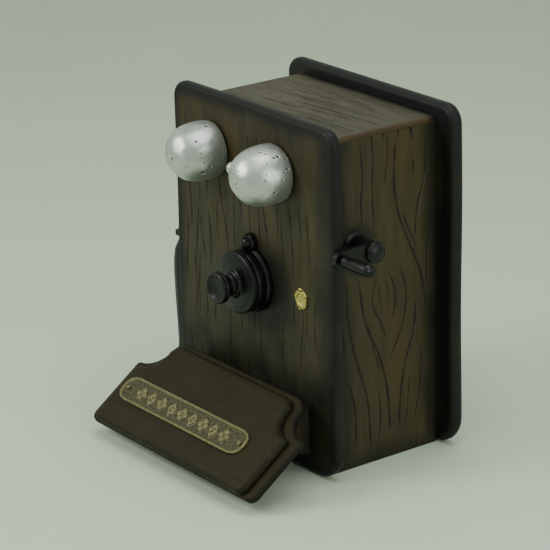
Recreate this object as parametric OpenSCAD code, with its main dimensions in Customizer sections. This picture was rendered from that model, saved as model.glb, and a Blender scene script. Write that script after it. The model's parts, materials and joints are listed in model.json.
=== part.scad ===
// Compact magneto wall telephone: an oak cabinet on a larger back board, with an
// overhanging door that carries the bells, the transmitter, the lock and a sloping shelf.
// Millimetres. +Z is up, the front faces -Y, and the cabinet stands on the plane z = 0.

/* [Cabinet] */
// Width over the two case sides
case_w = 214; // [206:1:222]
// Height of the case
case_h = 342; // [338:1:346]
// Thickness of the case boards
board_t = 12; // [10:1:13]
// Height of the back board
back_h = 355; // [350:1:360]
// Width of the back board
back_w = 264; // [256:1:272]
// Thickness of the back board
back_t = 14; // [12:1:16]

/* [Door] */
// Width of the door
door_w = 260; // [254:1:264]
// Height of the top edge of the door
door_top = 357; // [352:1:360]
// Thickness of the door
door_t = 11.5; // [10:0.5:11.5]
// Radius of the upper corners of door and back board
corner_top_r = 18; // [10:1:24]
// Radius of the lower corners of door and back board
corner_bottom_r = 30; // [18:1:36]

/* [Bells] */
// Rim radius of a gong
gong_r = 29.6; // [28:0.1:31]
// Depth of a gong from rim to pole
gong_d = 48; // [44:0.5:53]
// Wall thickness of a gong
gong_t = 1.8; // [1.5:0.1:2.5]
// Height of the gong centres
gong_z = 299.4; // [296:0.2:301]

/* [Transmitter] */
// Radius of the mounting ring on the door
ring_r = 33.5; // [33:0.5:35]
// Radius of the transmitter cup
cup_r = 31.5; // [30:0.5:32]
// Radius of the mouthpiece lip
mouth_r = 16.2; // [15:0.1:17]

/* [Shelf] */
// Slope of the shelf below the horizontal, in degrees
shelf_tilt = 36; // [32:1:38]
// Length of the shelf board down its slope
shelf_len = 117; // [108:1:118]
// Half width of the lower shelf board
shelf_half = 138; // [132:1:138]

/* [Crank] */
// Crank arm length from shaft to handle spindle
crank_len = 38; // [36:1:40]
// Radius of the crank handle
handle_r = 6.6; // [6:0.1:7]

/* [Hidden] */

$fn = 48;
e = 0.01;            // overcut of a hole past the faces it opens

// Colours
wood = [0.27, 0.22, 0.15];
wood_dark = [0.20, 0.15, 0.11];
black = [0.08, 0.08, 0.08];
silver = [0.80, 0.81, 0.80];
brass = [0.72, 0.58, 0.28];
bronze = [0.40, 0.37, 0.22];
steel = [0.55, 0.55, 0.56];
iron = [0.25, 0.25, 0.26];
copper = [0.62, 0.36, 0.22];

// Cabinet planes
back_y = 80;                         // wall face of the back board
case_back = back_y - back_t;         // where case and back board meet
case_front = -68;                    // front edges of the case boards
door_front = -80;                    // face of the door
door_back = door_front + door_t;
door_bottom = 1.5;
side_x = case_w / 2;                 // outer face of a case side
in_x = side_x - board_t;             // inner face of a case side
in_top = case_h - board_t;

// Fasteners
screw_r = 1.6;
head_r = 3;
screw_len = 8;
plug_r = 2.75;                       // holes for the wall screws
wall_x = 84;
wall_z = [40, 320];
line_hole = [0, 321, 4];             // x, z and radius of the line wire hole

// Hinges
hinge_x = -side_x - 4;
hinge_y = case_front + 4;
knuckle_r = 3.6;
pin_r = 2;
pin_fit = 0.06;                      // radial clearance of a turning pin
leaf_t = 2;
leaf_w = 18;
hinge_zs = [55, 255];
hinge_h = 50;
knuckle_gap = 0.4;

// Bells and ringer
gong_xs = [-63, 43.5];
gong_rim = door_front - 2.6;         // plane of the gong rims
pole_y = gong_rim - gong_d;
clap_x = -11.5;
clap_z = 227;                        // clapper pivot
ring_y = -47;                        // centre plane of the ringer coils
ball_z = 293;
ball_y = door_front - 13;
ball_r = 6.5;
coil_r = 9;
coil_dx = 20;
ringer_half = 33;
coil_z = [236, 263];
clap_pin_r = 1.5;

// Transmitter
trans_z = 179.5;
ring_front = door_front - 6.5;
cup_front = ring_front - 13;
face_front = cup_front - 5;
boss_front = face_front - 3.5;
mouth_front = door_front - 46.5;
thread_r = 5.5;

// Call button
button_z = 217.6;
button_stem_r = 3;
button_r = 6;
ear_r = 9.3;
button_travel = 3;

// Lock
lock_x = 79.3;
lock_z = 179.5;
lock_r = 8;
plug_lock_r = 5;
cam_len = 22;
cam_y = -50;
cam_t = 3;

// Shelf: origin on the rear edge of the lower board's upper face
shelf_y = door_front - 16.2;
shelf_z = 86.2;
board_lower_t = 8;
board_upper_t = 8.5;
top_half = shelf_half - 11;
top_rear = 7;                        // how far the upper board stays back from the rear edge
top_fore = 0.5;                       // and from the front edge
rear_half = shelf_half - 46;
front_corner_r = 9;
bracket_x = 80;
bracket_t = 14;
plate_x = -13;
plate_v = 73;                        // centre of the nameplate down the slope
plate_len = 206;
plate_h = 29;
plate_t = 2.4;

// Crank and magneto
crank_y = -37;
crank_z = 233;
shaft_r = 5;
shaft_x = [25, 138];
arm_x = 132;
arm_t = 6;
hub_r = 10;
cap_r = 11;
spindle_r = 3.5;
handle_x = [139, 180];
tooth_m = 1.1;                       // gear module
gear_teeth = 48;
pinion_teeth = 12;
axis_dist = tooth_m * (gear_teeth + pinion_teeth) / 2;
arm_y = crank_y + axis_dist;         // armature axis
armature_r = 14;
arm_shaft_r = 4;
plate_a = 57;                        // bearing plates of the magneto
plate_b = -36;
plate_c = 27;
bearing_t = 3;
gear_x = plate_a + bearing_t + 1;
gear_t = 6;
shelf_top_z = 191;                   // top of the generator shelf

// Receiver and its hook
rec_x = -180;
rec_y = -30;
rec_z = [16, 181.5];
neck_r = 7.5;
neck_z = [164, 174.8];
hook_z = 171.5;
hook_pivot_x = -78;
hook_t = 3.6;
hook_pin_r = 3;
hook_slot = [hook_z - 7, hook_z + 11.5];
plate_screw_dz = [-13, 15.5];
fork_r = 12.2;
fork_t = 6;

// ---------- helpers ----------

// extrudes an (x, z) outline from y0 to y1
module along_y(y0, y1) {
    translate([0, y1, 0]) rotate([90, 0, 0]) linear_extrude(y1 - y0) children();
}

// extrudes a (y, z) outline from x0 to x1
module along_x(x0, x1) {
    translate([x0, 0, 0]) rotate([90, 0, 90]) linear_extrude(x1 - x0) children();
}

module rod_y(r, x, z, y0, y1) {
    translate([x, y1, z]) rotate([90, 0, 0]) cylinder(r = r, h = y1 - y0);
}

module rod_x(r, y, z, x0, x1) {
    translate([x0, y, z]) rotate([0, 90, 0]) cylinder(r = r, h = x1 - x0);
}

// turns an (r, h) profile about an axis that points to the front, h = 0 at y0
module spin_y(x, z, y0) {
    translate([x, y0, z]) rotate([90, 0, 0]) rotate_extrude() children();
}

// turns an (r, h) profile about an axis that points to +X, h = 0 at x0
module spin_x(x0, y, z) {
    translate([x0, y, z]) rotate([0, 90, 0]) rotate_extrude() children();
}

module box(x, y, z) {
    translate([x[0], y[0], z[0]]) cube([x[1] - x[0], y[1] - y[0], z[1] - z[0]]);
}

// an upright panel outline, standing on the x axis
module panel_outline(w, h, r_top, r_bottom) {
    translate([-w / 2, r_bottom]) square([w, h - r_top - r_bottom]);
    translate([-w / 2 + r_bottom, 0]) square([w - 2 * r_bottom, r_bottom + 1]);
    translate([-w / 2 + r_top, h - r_top - 1]) square([w - 2 * r_top, r_top + 1]);
    for (s = [-1, 1]) {
        translate([s * (w / 2 - r_bottom), r_bottom]) circle(r_bottom);
        translate([s * (w / 2 - r_top), h - r_top]) circle(r_top);
    }
}

// a wood screw whose head rests on the face at y, driven towards +Y
module screw_y(x, y, z, dir = 1) {
    translate([x, y, z]) rotate([-90 * dir, 0, 0]) {
        cylinder(r = screw_r, h = screw_len);
        translate([0, 0, -1.4]) cylinder(r = head_r, h = 1.4);
    }
}

module screw_x(x, y, z) {
    translate([x, y, z]) rotate([0, 90, 0]) {
        cylinder(r = screw_r, h = screw_len);
        translate([0, 0, -1.4]) cylinder(r = head_r, h = 1.4);
    }
}

hinge_screw_dz = [8, 25, 42];

// ---------- cabinet ----------

module back_board() {
    color(wood) difference() {
        along_y(case_back, back_y)
            panel_outline(back_w, back_h, corner_top_r, corner_bottom_r);
        for (x = [-wall_x, wall_x], z = wall_z)
            rod_y(plug_r, x, z, case_back - e, back_y + e);
        rod_y(line_hole[2], line_hole[0], line_hole[1], case_back - e, back_y + e);
    }
}

module case_left_side() {
    color(wood) difference() {
        box([-side_x, -in_x], [case_front, case_back], [board_t, in_top]);
        // slot for the hook lever
        box([-side_x - e, -in_x + e], [rec_y - 3.5, rec_y + 3.5], hook_slot);
        rod_x(5, 10, 40, -side_x - e, -in_x + e);
        for (z = hinge_zs, dz = hinge_screw_dz)
            rod_x(screw_r, hinge_y + 14, z + dz, -side_x - e, -side_x + screw_len);
        for (dz = plate_screw_dz)
            rod_x(screw_r, rec_y, hook_z + dz, -side_x - e, -side_x + screw_len);
    }
}

module case_right_side() {
    color(wood) difference() {
        box([in_x, side_x], [case_front, case_back], [board_t, in_top]);
        rod_x(lock_r, crank_y, crank_z, in_x - e, side_x + e);
        // mortise for the lock cam
        box([in_x - e, in_x + 7.5], [cam_y - 2, cam_y + cam_t + 2], [lock_z - 19, lock_z + 9]);
    }
}

module case_top() {
    color(wood) box([-side_x, side_x], [case_front, case_back], [in_top, case_h]);
}

module case_bottom() {
    color(wood) box([-side_x, side_x], [case_front, case_back], [0, board_t]);
}

module generator_shelf() {
    color(wood_dark)
        box([-in_x, in_x], [-40, case_back], [shelf_top_z - 8, shelf_top_z]);
}

// barrel sections of one hinge between z0 and z1
module knuckle(z0, z1) {
    translate([hinge_x, hinge_y, z0]) cylinder(r = knuckle_r, h = z1 - z0);
}

module hinge_case_leaves() {
    third = hinge_h / 3;
    color(brass) for (z = hinge_zs) difference() {
        union() {
            box([-side_x - leaf_t, -side_x], [hinge_y, hinge_y + 22], [z, z + hinge_h]);
            knuckle(z, z + third - knuckle_gap);
            knuckle(z + 2 * third + knuckle_gap, z + hinge_h);
            box([hinge_x, -side_x], [hinge_y + 1, hinge_y + knuckle_r],
                [z, z + third - knuckle_gap]);
            box([hinge_x, -side_x], [hinge_y + 1, hinge_y + knuckle_r],
                [z + 2 * third + knuckle_gap, z + hinge_h]);
        }
        // room for the knuckle of the door leaf
        translate([hinge_x, hinge_y, z + third - knuckle_gap])
            cylinder(r = knuckle_r + knuckle_gap, h = third + 2 * knuckle_gap);
        translate([hinge_x, hinge_y, z - e]) cylinder(r = pin_r, h = hinge_h + 2 * e);
        for (dz = hinge_screw_dz)
            rod_x(screw_r, hinge_y + 14, z + dz, -side_x - leaf_t - e, -side_x + e);
    }
}

module hinge_pins() {
    color(brass) for (z = hinge_zs) translate([hinge_x, hinge_y, z]) {
        cylinder(r = pin_r, h = hinge_h);
        translate([0, 0, hinge_h]) cylinder(r1 = 3.2, r2 = 1.6, h = 4);
        translate([0, 0, -4]) cylinder(r1 = 1.6, r2 = 3.2, h = 4);
    }
}

// wood screws of the case: hinges, hook plate, line terminals
module case_screws() {
    color(brass) {
        for (z = hinge_zs, dz = hinge_screw_dz)
            screw_x(-side_x - leaf_t, hinge_y + 14, z + dz);
        for (dz = plate_screw_dz) screw_x(-side_x - 1.5, rec_y, hook_z + dz);
        for (i = [-2:2]) screw_y(i * 24, case_back - 12, 305);
    }
}

module crank_bushing() {
    color(black) difference() {
        union() {
            rod_x(lock_r, crank_y, crank_z, in_x, side_x);
            spin_x(side_x, crank_y, crank_z) polygon([[0, 0], [13, 0], [13, 1.2], [9.5, 3.5], [0, 3.5]]);
        }
        rod_x(shaft_r + pin_fit, crank_y, crank_z, in_x - e, side_x + 4);
    }
}

module magneto_bearing_plates() {
    color(brass) difference() {
        union() {
            box([plate_a, plate_a + bearing_t], [crank_y - 11, arm_y + 25], [shelf_top_z, 258]);
            box([plate_b, plate_b + bearing_t], [arm_y - 25, arm_y + 25], [shelf_top_z, 258]);
            box([plate_c, plate_c + bearing_t], [crank_y - 9, crank_y + 7], [shelf_top_z, 248]);
        }
        rod_x(shaft_r + pin_fit, crank_y, crank_z, plate_c - e, plate_a + bearing_t + e);
        rod_x(arm_shaft_r + pin_fit, arm_y, crank_z, plate_b - e, plate_a + bearing_t + e);
    }
}

// horseshoe magnets over the armature
module magneto_magnets() {
    outer = 25;
    inner = 17;
    arch_z = 262;
    color(iron) for (x = [-32, -2.5, 27]) along_x(x, x + 28) translate([arm_y, 0]) {
        difference() {
            translate([0, arch_z]) circle(outer);
            translate([0, arch_z]) circle(inner);
            translate([-outer - 1, arch_z - outer - 1]) square([2 * outer + 2, outer + 1]);
        }
        for (s = [[-outer, 0], [inner, 0]])
            translate([s[0], 212]) square([outer - inner, arch_z - 212]);
    }
}

module magneto_pole_pieces() {
    color(iron) difference() {
        union() {
            box([-32, 55], [arm_y - 17, arm_y - 3.5], [shelf_top_z, 254]);
            box([-32, 55], [arm_y + 3.5, arm_y + 17], [shelf_top_z, 254]);
        }
        rod_x(armature_r + 0.5, arm_y, crank_z, -33, 56);
    }
}

// plate around the hook slot, outside
module hook_escutcheon() {
    color(black) difference() {
        box([-side_x - 1.5, -side_x], [rec_y - 9, rec_y + 9], [hook_z - 18, hook_z + 20]);
        box([-side_x - 2, -side_x + e], [rec_y - 3.5, rec_y + 3.5], hook_slot);
        for (dz = plate_screw_dz)
            rod_x(screw_r, rec_y, hook_z + dz, -side_x - 2, -side_x + e);
    }
}

module hook_bracket() {
    color(steel) difference() {
        union() {
            box([-in_x, -in_x + 2], [rec_y - 12, rec_y - 4.6], [hook_z - 9, hook_z + 9]);
            box([-in_x, -in_x + 2], [rec_y + 4.6, rec_y + 12], [hook_z - 9, hook_z + 9]);
            box([-in_x, hook_pivot_x + 8], [rec_y - 5.2, rec_y - 2.6], [hook_z - 9, hook_z + 9]);
            box([-in_x, hook_pivot_x + 8], [rec_y + 2.6, rec_y + 5.2], [hook_z - 9, hook_z + 9]);
            // web under the lever that joins the two cheeks
            box([hook_pivot_x - 8, hook_pivot_x + 4], [rec_y - 3, rec_y + 3], [hook_z - 9, hook_z - 7]);
        }
        rod_y(hook_pin_r, hook_pivot_x, hook_z, rec_y - 6, rec_y + 6);
    }
}

module hook_pivot_pin() {
    color(steel) {
        rod_y(hook_pin_r, hook_pivot_x, hook_z, rec_y - 6, rec_y + 6);
        rod_y(4.5, hook_pivot_x, hook_z, rec_y - 7.5, rec_y - 5.2);
    }
}

// spring pile that the tail of the hook lever works
module hook_contacts() {
    color(brass) for (z = [150, 154.5, 159])
        box([-in_x + 4, -57], [rec_y - 4, rec_y + 4], [z, z + 0.6]);
    color(black) box([-in_x, -in_x + 8], [rec_y - 6, rec_y + 6], [145, 162]);
}

module dry_cells() {
    color([0.45, 0.38, 0.30]) for (x = [-36, 36]) translate([x, 31, board_t]) {
        cylinder(r = 33.2, h = 152);
        translate([0, 0, 152]) cylinder(r = 4, h = 9);
        translate([0, -26, 152]) cylinder(r = 3, h = 7);
    }
}

module induction_coil() {
    color(copper) translate([-72, 38, shelf_top_z + 4]) cylinder(r = 13, h = 82);
    color(wood_dark) for (z = [0, 86])
        translate([-72 - 16, 38 - 16, shelf_top_z + z]) cube([32, 32, 4]);
}

module terminal_block() {
    color(black) difference() {
        box([-60, 60], [case_back - 12, case_back], [296, 314]);
        for (i = [-2:2]) rod_y(screw_r, i * 24, 305, case_back - 13, case_back - 12 + screw_len);
    }
}

// bushed inlet for the receiver cord
module cord_bushing() {
    color(black) difference() {
        union() {
            rod_x(5, 10, 40, -side_x, -in_x);
            spin_x(-side_x - 2.5, 10, 40) polygon([[0, 0], [6, 0], [8, 1.4], [8, 2.5], [0, 2.5]]);
        }
        rod_x(3, 10, 40, -side_x - 3, -in_x + e);
    }
}

// ---------- door ----------

module ring_screws_at() {
    for (a = [30, 150, 270])
        translate([25 * cos(a), 0, trans_z + 25 * sin(a)]) children();
}

module door_panel() {
    color(wood) difference() {
        along_y(door_front, door_back) translate([0, door_bottom])
            panel_outline(door_w, door_top - door_bottom, corner_top_r, corner_bottom_r);
        for (x = gong_xs) rod_y(3, x, gong_z, door_front - e, door_back + e);
        // slot of the clapper rod
        box([clap_x - 16, clap_x + 16], [door_front - e, door_back + e],
            [ball_z - 3.6, ball_z + 3.2]);
        rod_y(6, 0, trans_z, door_front - e, door_back + e);
        rod_y(button_stem_r + pin_fit, 0, button_z, door_front - e, door_back + e);
        rod_y(lock_r, lock_x, lock_z, door_front - e, door_back + e);
        ring_screws_at() rod_y(screw_r, 0, 0, door_front - e, door_back + e);
        for (z = hinge_zs, dz = hinge_screw_dz)
            rod_y(screw_r, hinge_x - 9, z + dz, door_back - 6, door_back + e);
    }
}

module hinge_door_leaves() {
    third = hinge_h / 3;
    color(brass) for (z = hinge_zs) difference() {
        union() {
            box([hinge_x - leaf_w, hinge_x], [door_back, door_back + leaf_t], [z, z + hinge_h]);
            knuckle(z + third, z + 2 * third);
            box([hinge_x - knuckle_r, hinge_x], [door_back, hinge_y], [z + third, z + 2 * third]);
        }
        // room for the knuckles of the case leaf
        for (k = [[0, third], [2 * third, hinge_h]])
            translate([hinge_x, hinge_y, z + k[0] - e])
                cylinder(r = knuckle_r + knuckle_gap, h = k[1] - k[0] + 2 * e);
        translate([hinge_x, hinge_y, z - e]) cylinder(r = pin_r + pin_fit, h = hinge_h + 2 * e);
        for (dz = hinge_screw_dz)
            rod_y(screw_r, hinge_x - 9, z + dz, door_back - e, door_back + leaf_t + e);
    }
}

// wood screws of the door: hinges and transmitter ring
module door_screws() {
    color(brass) for (z = hinge_zs, dz = hinge_screw_dz)
        translate([hinge_x - 9, door_back + leaf_t, z + dz]) rotate([90, 0, 0]) {
            cylinder(r = screw_r, h = 8);
            translate([0, 0, -1]) cylinder(r = head_r, h = 1);
        }
    color(steel) ring_screws_at() {
        rod_y(screw_r, 0, 0, door_front - 5, door_back);
        rod_y(head_r, 0, 0, door_back, door_back + 1.4);
    }
}

// quarter ellipse of the gong, from rim to pole
// outline of a gong that swells a little in front of its rim
function swell(a) = sign(a) * pow(abs(sin(a)), 0.88);
function dome(r, d, n) = let (a0 = -16) [for (i = [0:n]) let (a = a0 + (90 - a0) * i / n)
    [r * pow(max(0, cos(a)), 0.88), d * (swell(a) - swell(a0)) / (1 - swell(a0))]];

module gong(x) {
    n = 19;
    color(silver) difference() {
        spin_y(x, gong_z, gong_rim) polygon(concat([[0, 0]], dome(gong_r, gong_d, n)));
        spin_y(x, gong_z, gong_rim + e)
            polygon(concat([[0, 0]], dome(gong_r - gong_t, gong_d - gong_t, n)));
        rod_y(screw_r, x, gong_z, pole_y - e, gong_rim);
    }
}

module gong_left() { gong(gong_xs[0]); }

module gong_right() { gong(gong_xs[1]); }

module gong_posts() {
    color(steel) for (x = gong_xs) difference() {
        union() {
            rod_y(3, x, gong_z, door_front, door_back);
            rod_y(5, x, gong_z, door_front - 8, door_front);
            rod_y(3.5, x, gong_z, pole_y + gong_t + 0.4, door_front - 8);
            rod_y(6, x, gong_z, door_back, door_back + 3);
        }
        rod_y(screw_r, x, gong_z, pole_y - e, pole_y + 12);
    }
}

module gong_screws() {
    color(silver) for (x = gong_xs) {
        rod_y(screw_r, x, gong_z, pole_y, pole_y + 12);
        spin_y(x, gong_z, pole_y)
            polygon([[0, 0], [2.4, 0], [2.4, 0.6], [1.7, 1.3], [0, 1.6]]);
    }
}

// yoke over the coils, side straps and the lower bearing bridge
module ringer_frame() {
    x0 = clap_x - ringer_half;
    x1 = clap_x + ringer_half;
    color(iron) difference() {
        union() {
            box([x0, x1], [ring_y - 9, ring_y + 9], [coil_z[1], coil_z[1] + 4]);
            box([x0, x1], [door_back, ring_y - 9], [coil_z[1], coil_z[1] + 4]);
            for (x = [x0, x1 - 3])
                box([x, x + 3], [ring_y - 5, ring_y + 5], [clap_z - 12, coil_z[1]]);
            box([x0, x1], [ring_y - 5, ring_y + 5], [clap_z - 12, clap_z - 9]);
            for (y = [ring_y - 5, ring_y + 3.5])
                box([clap_x - 5, clap_x + 5], [y, y + 1.5], [clap_z - 9, clap_z + 3.5]);
        }
        // slot of the clapper rod through the yoke
        box([clap_x - 10.6, clap_x + 10.6], [ring_y - 2.6, ring_y + 2.6],
            [coil_z[1] - e, coil_z[1] + 4 + e]);
        rod_y(clap_pin_r + pin_fit, clap_x, clap_z, ring_y - 6, ring_y + 6);
    }
}

module ringer_coils() {
    for (s = [-1, 1]) translate([clap_x + s * coil_dx, ring_y, 0]) {
        color(copper) translate([0, 0, coil_z[0] + 2])
            cylinder(r = coil_r, h = coil_z[1] - coil_z[0] - 3);
        color(iron) translate([0, 0, coil_z[0] - 1]) cylinder(r = 4, h = 3);
        color(black) translate([0, 0, coil_z[1] - 1]) cylinder(r = coil_r, h = 1);
    }
}

module transmitter_base() {
    color(black) difference() {
        union() {
            spin_y(0, trans_z, door_front)
                polygon([[6, 0], [ring_r, 0], [ring_r, 4], [ring_r - 2, 6.5], [6, 6.5]]);
            // ear round the call button
            difference() {
                spin_y(0, button_z, door_front)
                    polygon([[0, 0], [ear_r, 0], [ear_r, 5], [ear_r - 1.6, 7.5], [0, 7.5]]);
                rod_y(cup_r + 0.4, 0, trans_z, ring_front - 2, ring_front);
            }
        }
        rod_y(button_r + 0.4, 0, button_z, ring_front - 3, door_front + e);
        ring_screws_at() rod_y(screw_r, 0, 0, door_front - 5, door_front + e);
    }
}

module transmitter_cup() {
    color(black) spin_y(0, trans_z, ring_front)
        polygon([[6, 0], [cup_r - 0.5, 0], [cup_r, 2], [cup_r - 1.5, 5], [cup_r, 8],
                 [cup_r, 13], [cup_r - 3, 13], [cup_r - 3, 2], [6, 2]]);
}

module transmitter_face() {
    color(black) spin_y(0, trans_z, cup_front)
        polygon([[thread_r, 1.5], [thread_r + 6, 0], [cup_r, 0], [cup_r - 0.6, 1.4],
                 [cup_r - 2.4, 2.6], [24, 4], [18, 4.8], [14, 5], [13.4, 7.6], [12, 8.5], [thread_r, 8.5]]);
}

module transmitter_diaphragm() {
    color(silver) rod_y(cup_r - 3.2, 0, trans_z, cup_front, cup_front + 0.6);
}

// carbon chamber behind the diaphragm
module carbon_button() {
    color(brass) rod_y(9, 0, trans_z, cup_front + 0.6, cup_front + 8);
}

module mouthpiece() {
    back = boss_front + 4;
    lip = back - mouth_front;
    color(black) spin_y(0, trans_z, back)
        polygon([[2, 0], [thread_r, 0], [thread_r, 4], [11, 4], [11, 6], [9.8, 7],
                 [10.4, lip - 10], [12.6, lip - 8.2], [mouth_r - 0.8, lip - 7.4],
                 [mouth_r, lip - 6], [mouth_r - 0.5, lip - 4], [mouth_r, lip - 2],
                 [mouth_r - 1.2, lip], [13.2, lip - 0.4], [10.5, lip - 4],
                 [6, lip - 6.6], [2, lip - 7.6]]);
}

// spring blades that the call button closes
module button_contacts() {
    color(black) box([-9, 9], [door_back, -56], [188, 198]);
    color(brass) for (y = [-60.5, -58.1])
        box([-3.5, 3.5], [y, y + 0.4], [198, 225.5]);
}

// plate of the keyhole
module lock_escutcheon() {
    color(brass) difference() {
        along_y(door_front - 1.6, door_front) union() {
            translate([lock_x, lock_z]) circle(9.2);
            translate([lock_x - 5, lock_z - 8]) square([10, 16]);
            translate([lock_x, lock_z + 6]) circle(5);
            translate([lock_x, lock_z - 6]) circle(5);
        }
        rod_y(plug_lock_r + 0.4, lock_x, lock_z, door_front - 2, door_front + e);
    }
}

module lock_barrel() {
    color(steel) difference() {
        rod_y(lock_r, lock_x, lock_z, door_front, cam_y - 1);
        rod_y(plug_lock_r + pin_fit, lock_x, lock_z, door_front - e, cam_y);
    }
}

// right half of a shelf board's outline from the rear edge to the front: a small round,
// a hollow scoop and a round front corner
function half_outline(half, rear_w, rear, long) =
    let (k = half - rear_w, r = front_corner_r)
    concat([[rear_w, -rear], [rear_w + 0.13 * k, -rear - 1.5], [rear_w + 0.24 * k, -rear - 5]],
           [for (t = [0:6]) let (a = 90 * t / 6)
               [half - 0.68 * k * cos(a), -rear - 9 - 30 * sin(a)]],
           [[half, -rear - 45]],
           [for (t = [0:5]) let (a = 90 * t / 5)
               [half - r + r * cos(a), -long + r - r * sin(a)]]);

module shelf_outline(half, rear_w, rear, long) {
    right = half_outline(half, rear_w, rear, long);
    n = len(right);
    polygon(concat(right, [for (i = [n - 1:-1:0]) [-right[i][0], right[i][1]]]));
}

module on_shelf(w = 0) {
    translate([0, shelf_y, shelf_z]) rotate([shelf_tilt, 0, 0]) translate([0, 0, w]) children();
}

module shelf_board() {
    color(wood_dark) on_shelf(-board_lower_t) linear_extrude(board_lower_t)
        shelf_outline(shelf_half, rear_half, 0, shelf_len);
}

module shelf_top() {
    color(wood_dark) on_shelf() linear_extrude(board_upper_t)
        shelf_outline(top_half, rear_half - 6, top_rear, shelf_len - top_fore);
}

// triangular brackets between door and shelf
module shelf_brackets() {
    c = cos(shelf_tilt);
    s = sin(shelf_tilt);
    top_y = shelf_y + board_lower_t * s;
    top_z = shelf_z - board_lower_t * c;
    color(wood_dark) for (x = [-bracket_x, bracket_x])
        along_x(x - bracket_t / 2, x + bracket_t / 2)
            polygon([[door_front, top_z - 8], [top_y, top_z], [top_y - 78 * c, top_z - 78 * s],
                     [top_y - 70 * c, top_z - 70 * s - 7], [door_front - 26, 27], [door_front, 20]]);
}

module plate_outline() {
    polygon([for (s = [[1, 1], [1, -1], [-1, -1], [-1, 1]],
                  k = s[0] * s[1] > 0 ? [[11, 0], [4, 3], [0, 7]] : [[0, 7], [4, 3], [11, 0]])
             [s[0] * (plate_len / 2 - k[0]), s[1] * (plate_h / 2 - k[1])]]);
}

rivet_dx = plate_len / 2 - 8;

module nameplate() {
    color(bronze) on_shelf(board_upper_t) translate([plate_x, -plate_v, 0]) difference() {
        linear_extrude(plate_t) plate_outline();
        for (s = [-1, 1]) translate([s * rivet_dx, 0, -e]) cylinder(r = 1.2, h = plate_t + 2 * e);
    }
}

module nameplate_rivets() {
    color(bronze) on_shelf(board_upper_t) translate([plate_x, -plate_v, 0])
        for (s = [-1, 1]) translate([s * rivet_dx, 0, 0]) {
            cylinder(r = 1.2, h = plate_t);
            translate([0, 0, plate_t]) cylinder(r1 = 2.4, r2 = 1.2, h = 0.8);
        }
}

// ---------- moving pieces ----------

module clapper_armature() {
    color(iron) difference() {
        union() {
            box([clap_x - 20, clap_x + 20], [ring_y - 3, ring_y + 3], [clap_z - 2, clap_z + 2]);
            rod_y(3.4, clap_x, clap_z, ring_y - 3, ring_y + 3);
            rod_y(clap_pin_r, clap_x, clap_z, ring_y - 5.5, ring_y + 5.5);
        }
        translate([clap_x, ring_y, clap_z]) cylinder(r = 1.2, h = 5);
    }
}

// rod that rises between the coils and comes forward through the door
module clapper() {
    color(silver) {
        translate([clap_x, ring_y, clap_z]) cylinder(r = 1.2, h = ball_z - clap_z);
        translate([clap_x, ring_y, ball_z]) sphere(1.2);
        rod_y(1.2, clap_x, ball_z, ball_y, ring_y);
        translate([clap_x, ball_y, ball_z]) sphere(ball_r);
    }
}

module call_button() {
    rear = door_front - button_travel - 0.5;
    color(black) {
        rod_y(button_stem_r, 0, button_z, rear, -64);
        spin_y(0, button_z, rear)
            polygon([[0, 0], [5.2, 0], [button_r, 1.2], [button_r, 4.5], [5.2, 7.2], [3.2, 9], [0, 9.8]]);
    }
}

module lock_cylinder() {
    color(brass) difference() {
        rod_y(plug_lock_r, lock_x, lock_z, door_front - 1, cam_y + cam_t + 2);
        box([lock_x - 1, lock_x + 1], [door_front - 2, door_front + 8], [lock_z - 3.4, lock_z + 3.4]);
    }
}

module lock_cam() {
    color(steel) difference() {
        union() {
            rod_y(7.5, lock_x, lock_z, cam_y, cam_y + cam_t);
            box([lock_x - 4.5, lock_x + 4.5], [cam_y, cam_y + cam_t], [lock_z - cam_len, lock_z]);
        }
        rod_y(plug_lock_r, lock_x, lock_z, cam_y - e, cam_y + cam_t + e);
    }
}

module crank_shaft() {
    color(steel) rod_x(shaft_r, crank_y, crank_z, shaft_x[0], shaft_x[1]);
    // round nut over the arm
    color(black) spin_x(shaft_x[1], crank_y, crank_z)
        polygon([[0, 0], [cap_r - 1, 0], [cap_r, 1.2], [cap_r - 0.6, 3], [cap_r - 3.4, 5], [4, 6.4], [0, 6.8]]);
}

module crank_arm() {
    tip_y = crank_y - crank_len;
    color(black) difference() {
        union() {
            rod_x(hub_r, crank_y, crank_z, side_x + 4.2, arm_x + arm_t);
            rod_x(hub_r - 1, tip_y, crank_z, arm_x, arm_x + arm_t);
            along_x(arm_x, arm_x + arm_t)
                polygon([[crank_y, crank_z - hub_r], [crank_y, crank_z + hub_r],
                         [tip_y, crank_z + hub_r - 1], [tip_y, crank_z - hub_r + 1]]);
        }
        rod_x(shaft_r, crank_y, crank_z, side_x, arm_x + arm_t + e);
        rod_x(spindle_r, tip_y, crank_z, arm_x - e, arm_x + arm_t + e);
    }
}

module handle_spindle() {
    tip_y = crank_y - crank_len;
    color(steel) {
        rod_x(spindle_r, tip_y, crank_z, arm_x, handle_x[1] + 0.6);
        spin_x(handle_x[1] + 0.6, tip_y, crank_z)
            polygon([[0, 0], [5.4, 0], [5, 2.2], [3, 4], [0, 4.8]]);
    }
}

module crank_handle() {
    len = handle_x[1] - handle_x[0];
    color(black) spin_x(handle_x[0], crank_y - crank_len, crank_z)
        polygon([[spindle_r + pin_fit, 0], [handle_r - 1.6, 0], [handle_r - 0.8, 3],
                 [handle_r - 1.2, 8], [handle_r - 0.3, len * 0.4], [handle_r, len * 0.7],
                 [handle_r - 0.6, len - 4], [handle_r - 2.2, len - 0.8],
                 [handle_r - 2.8, len], [spindle_r + pin_fit, len]]);
}

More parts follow.
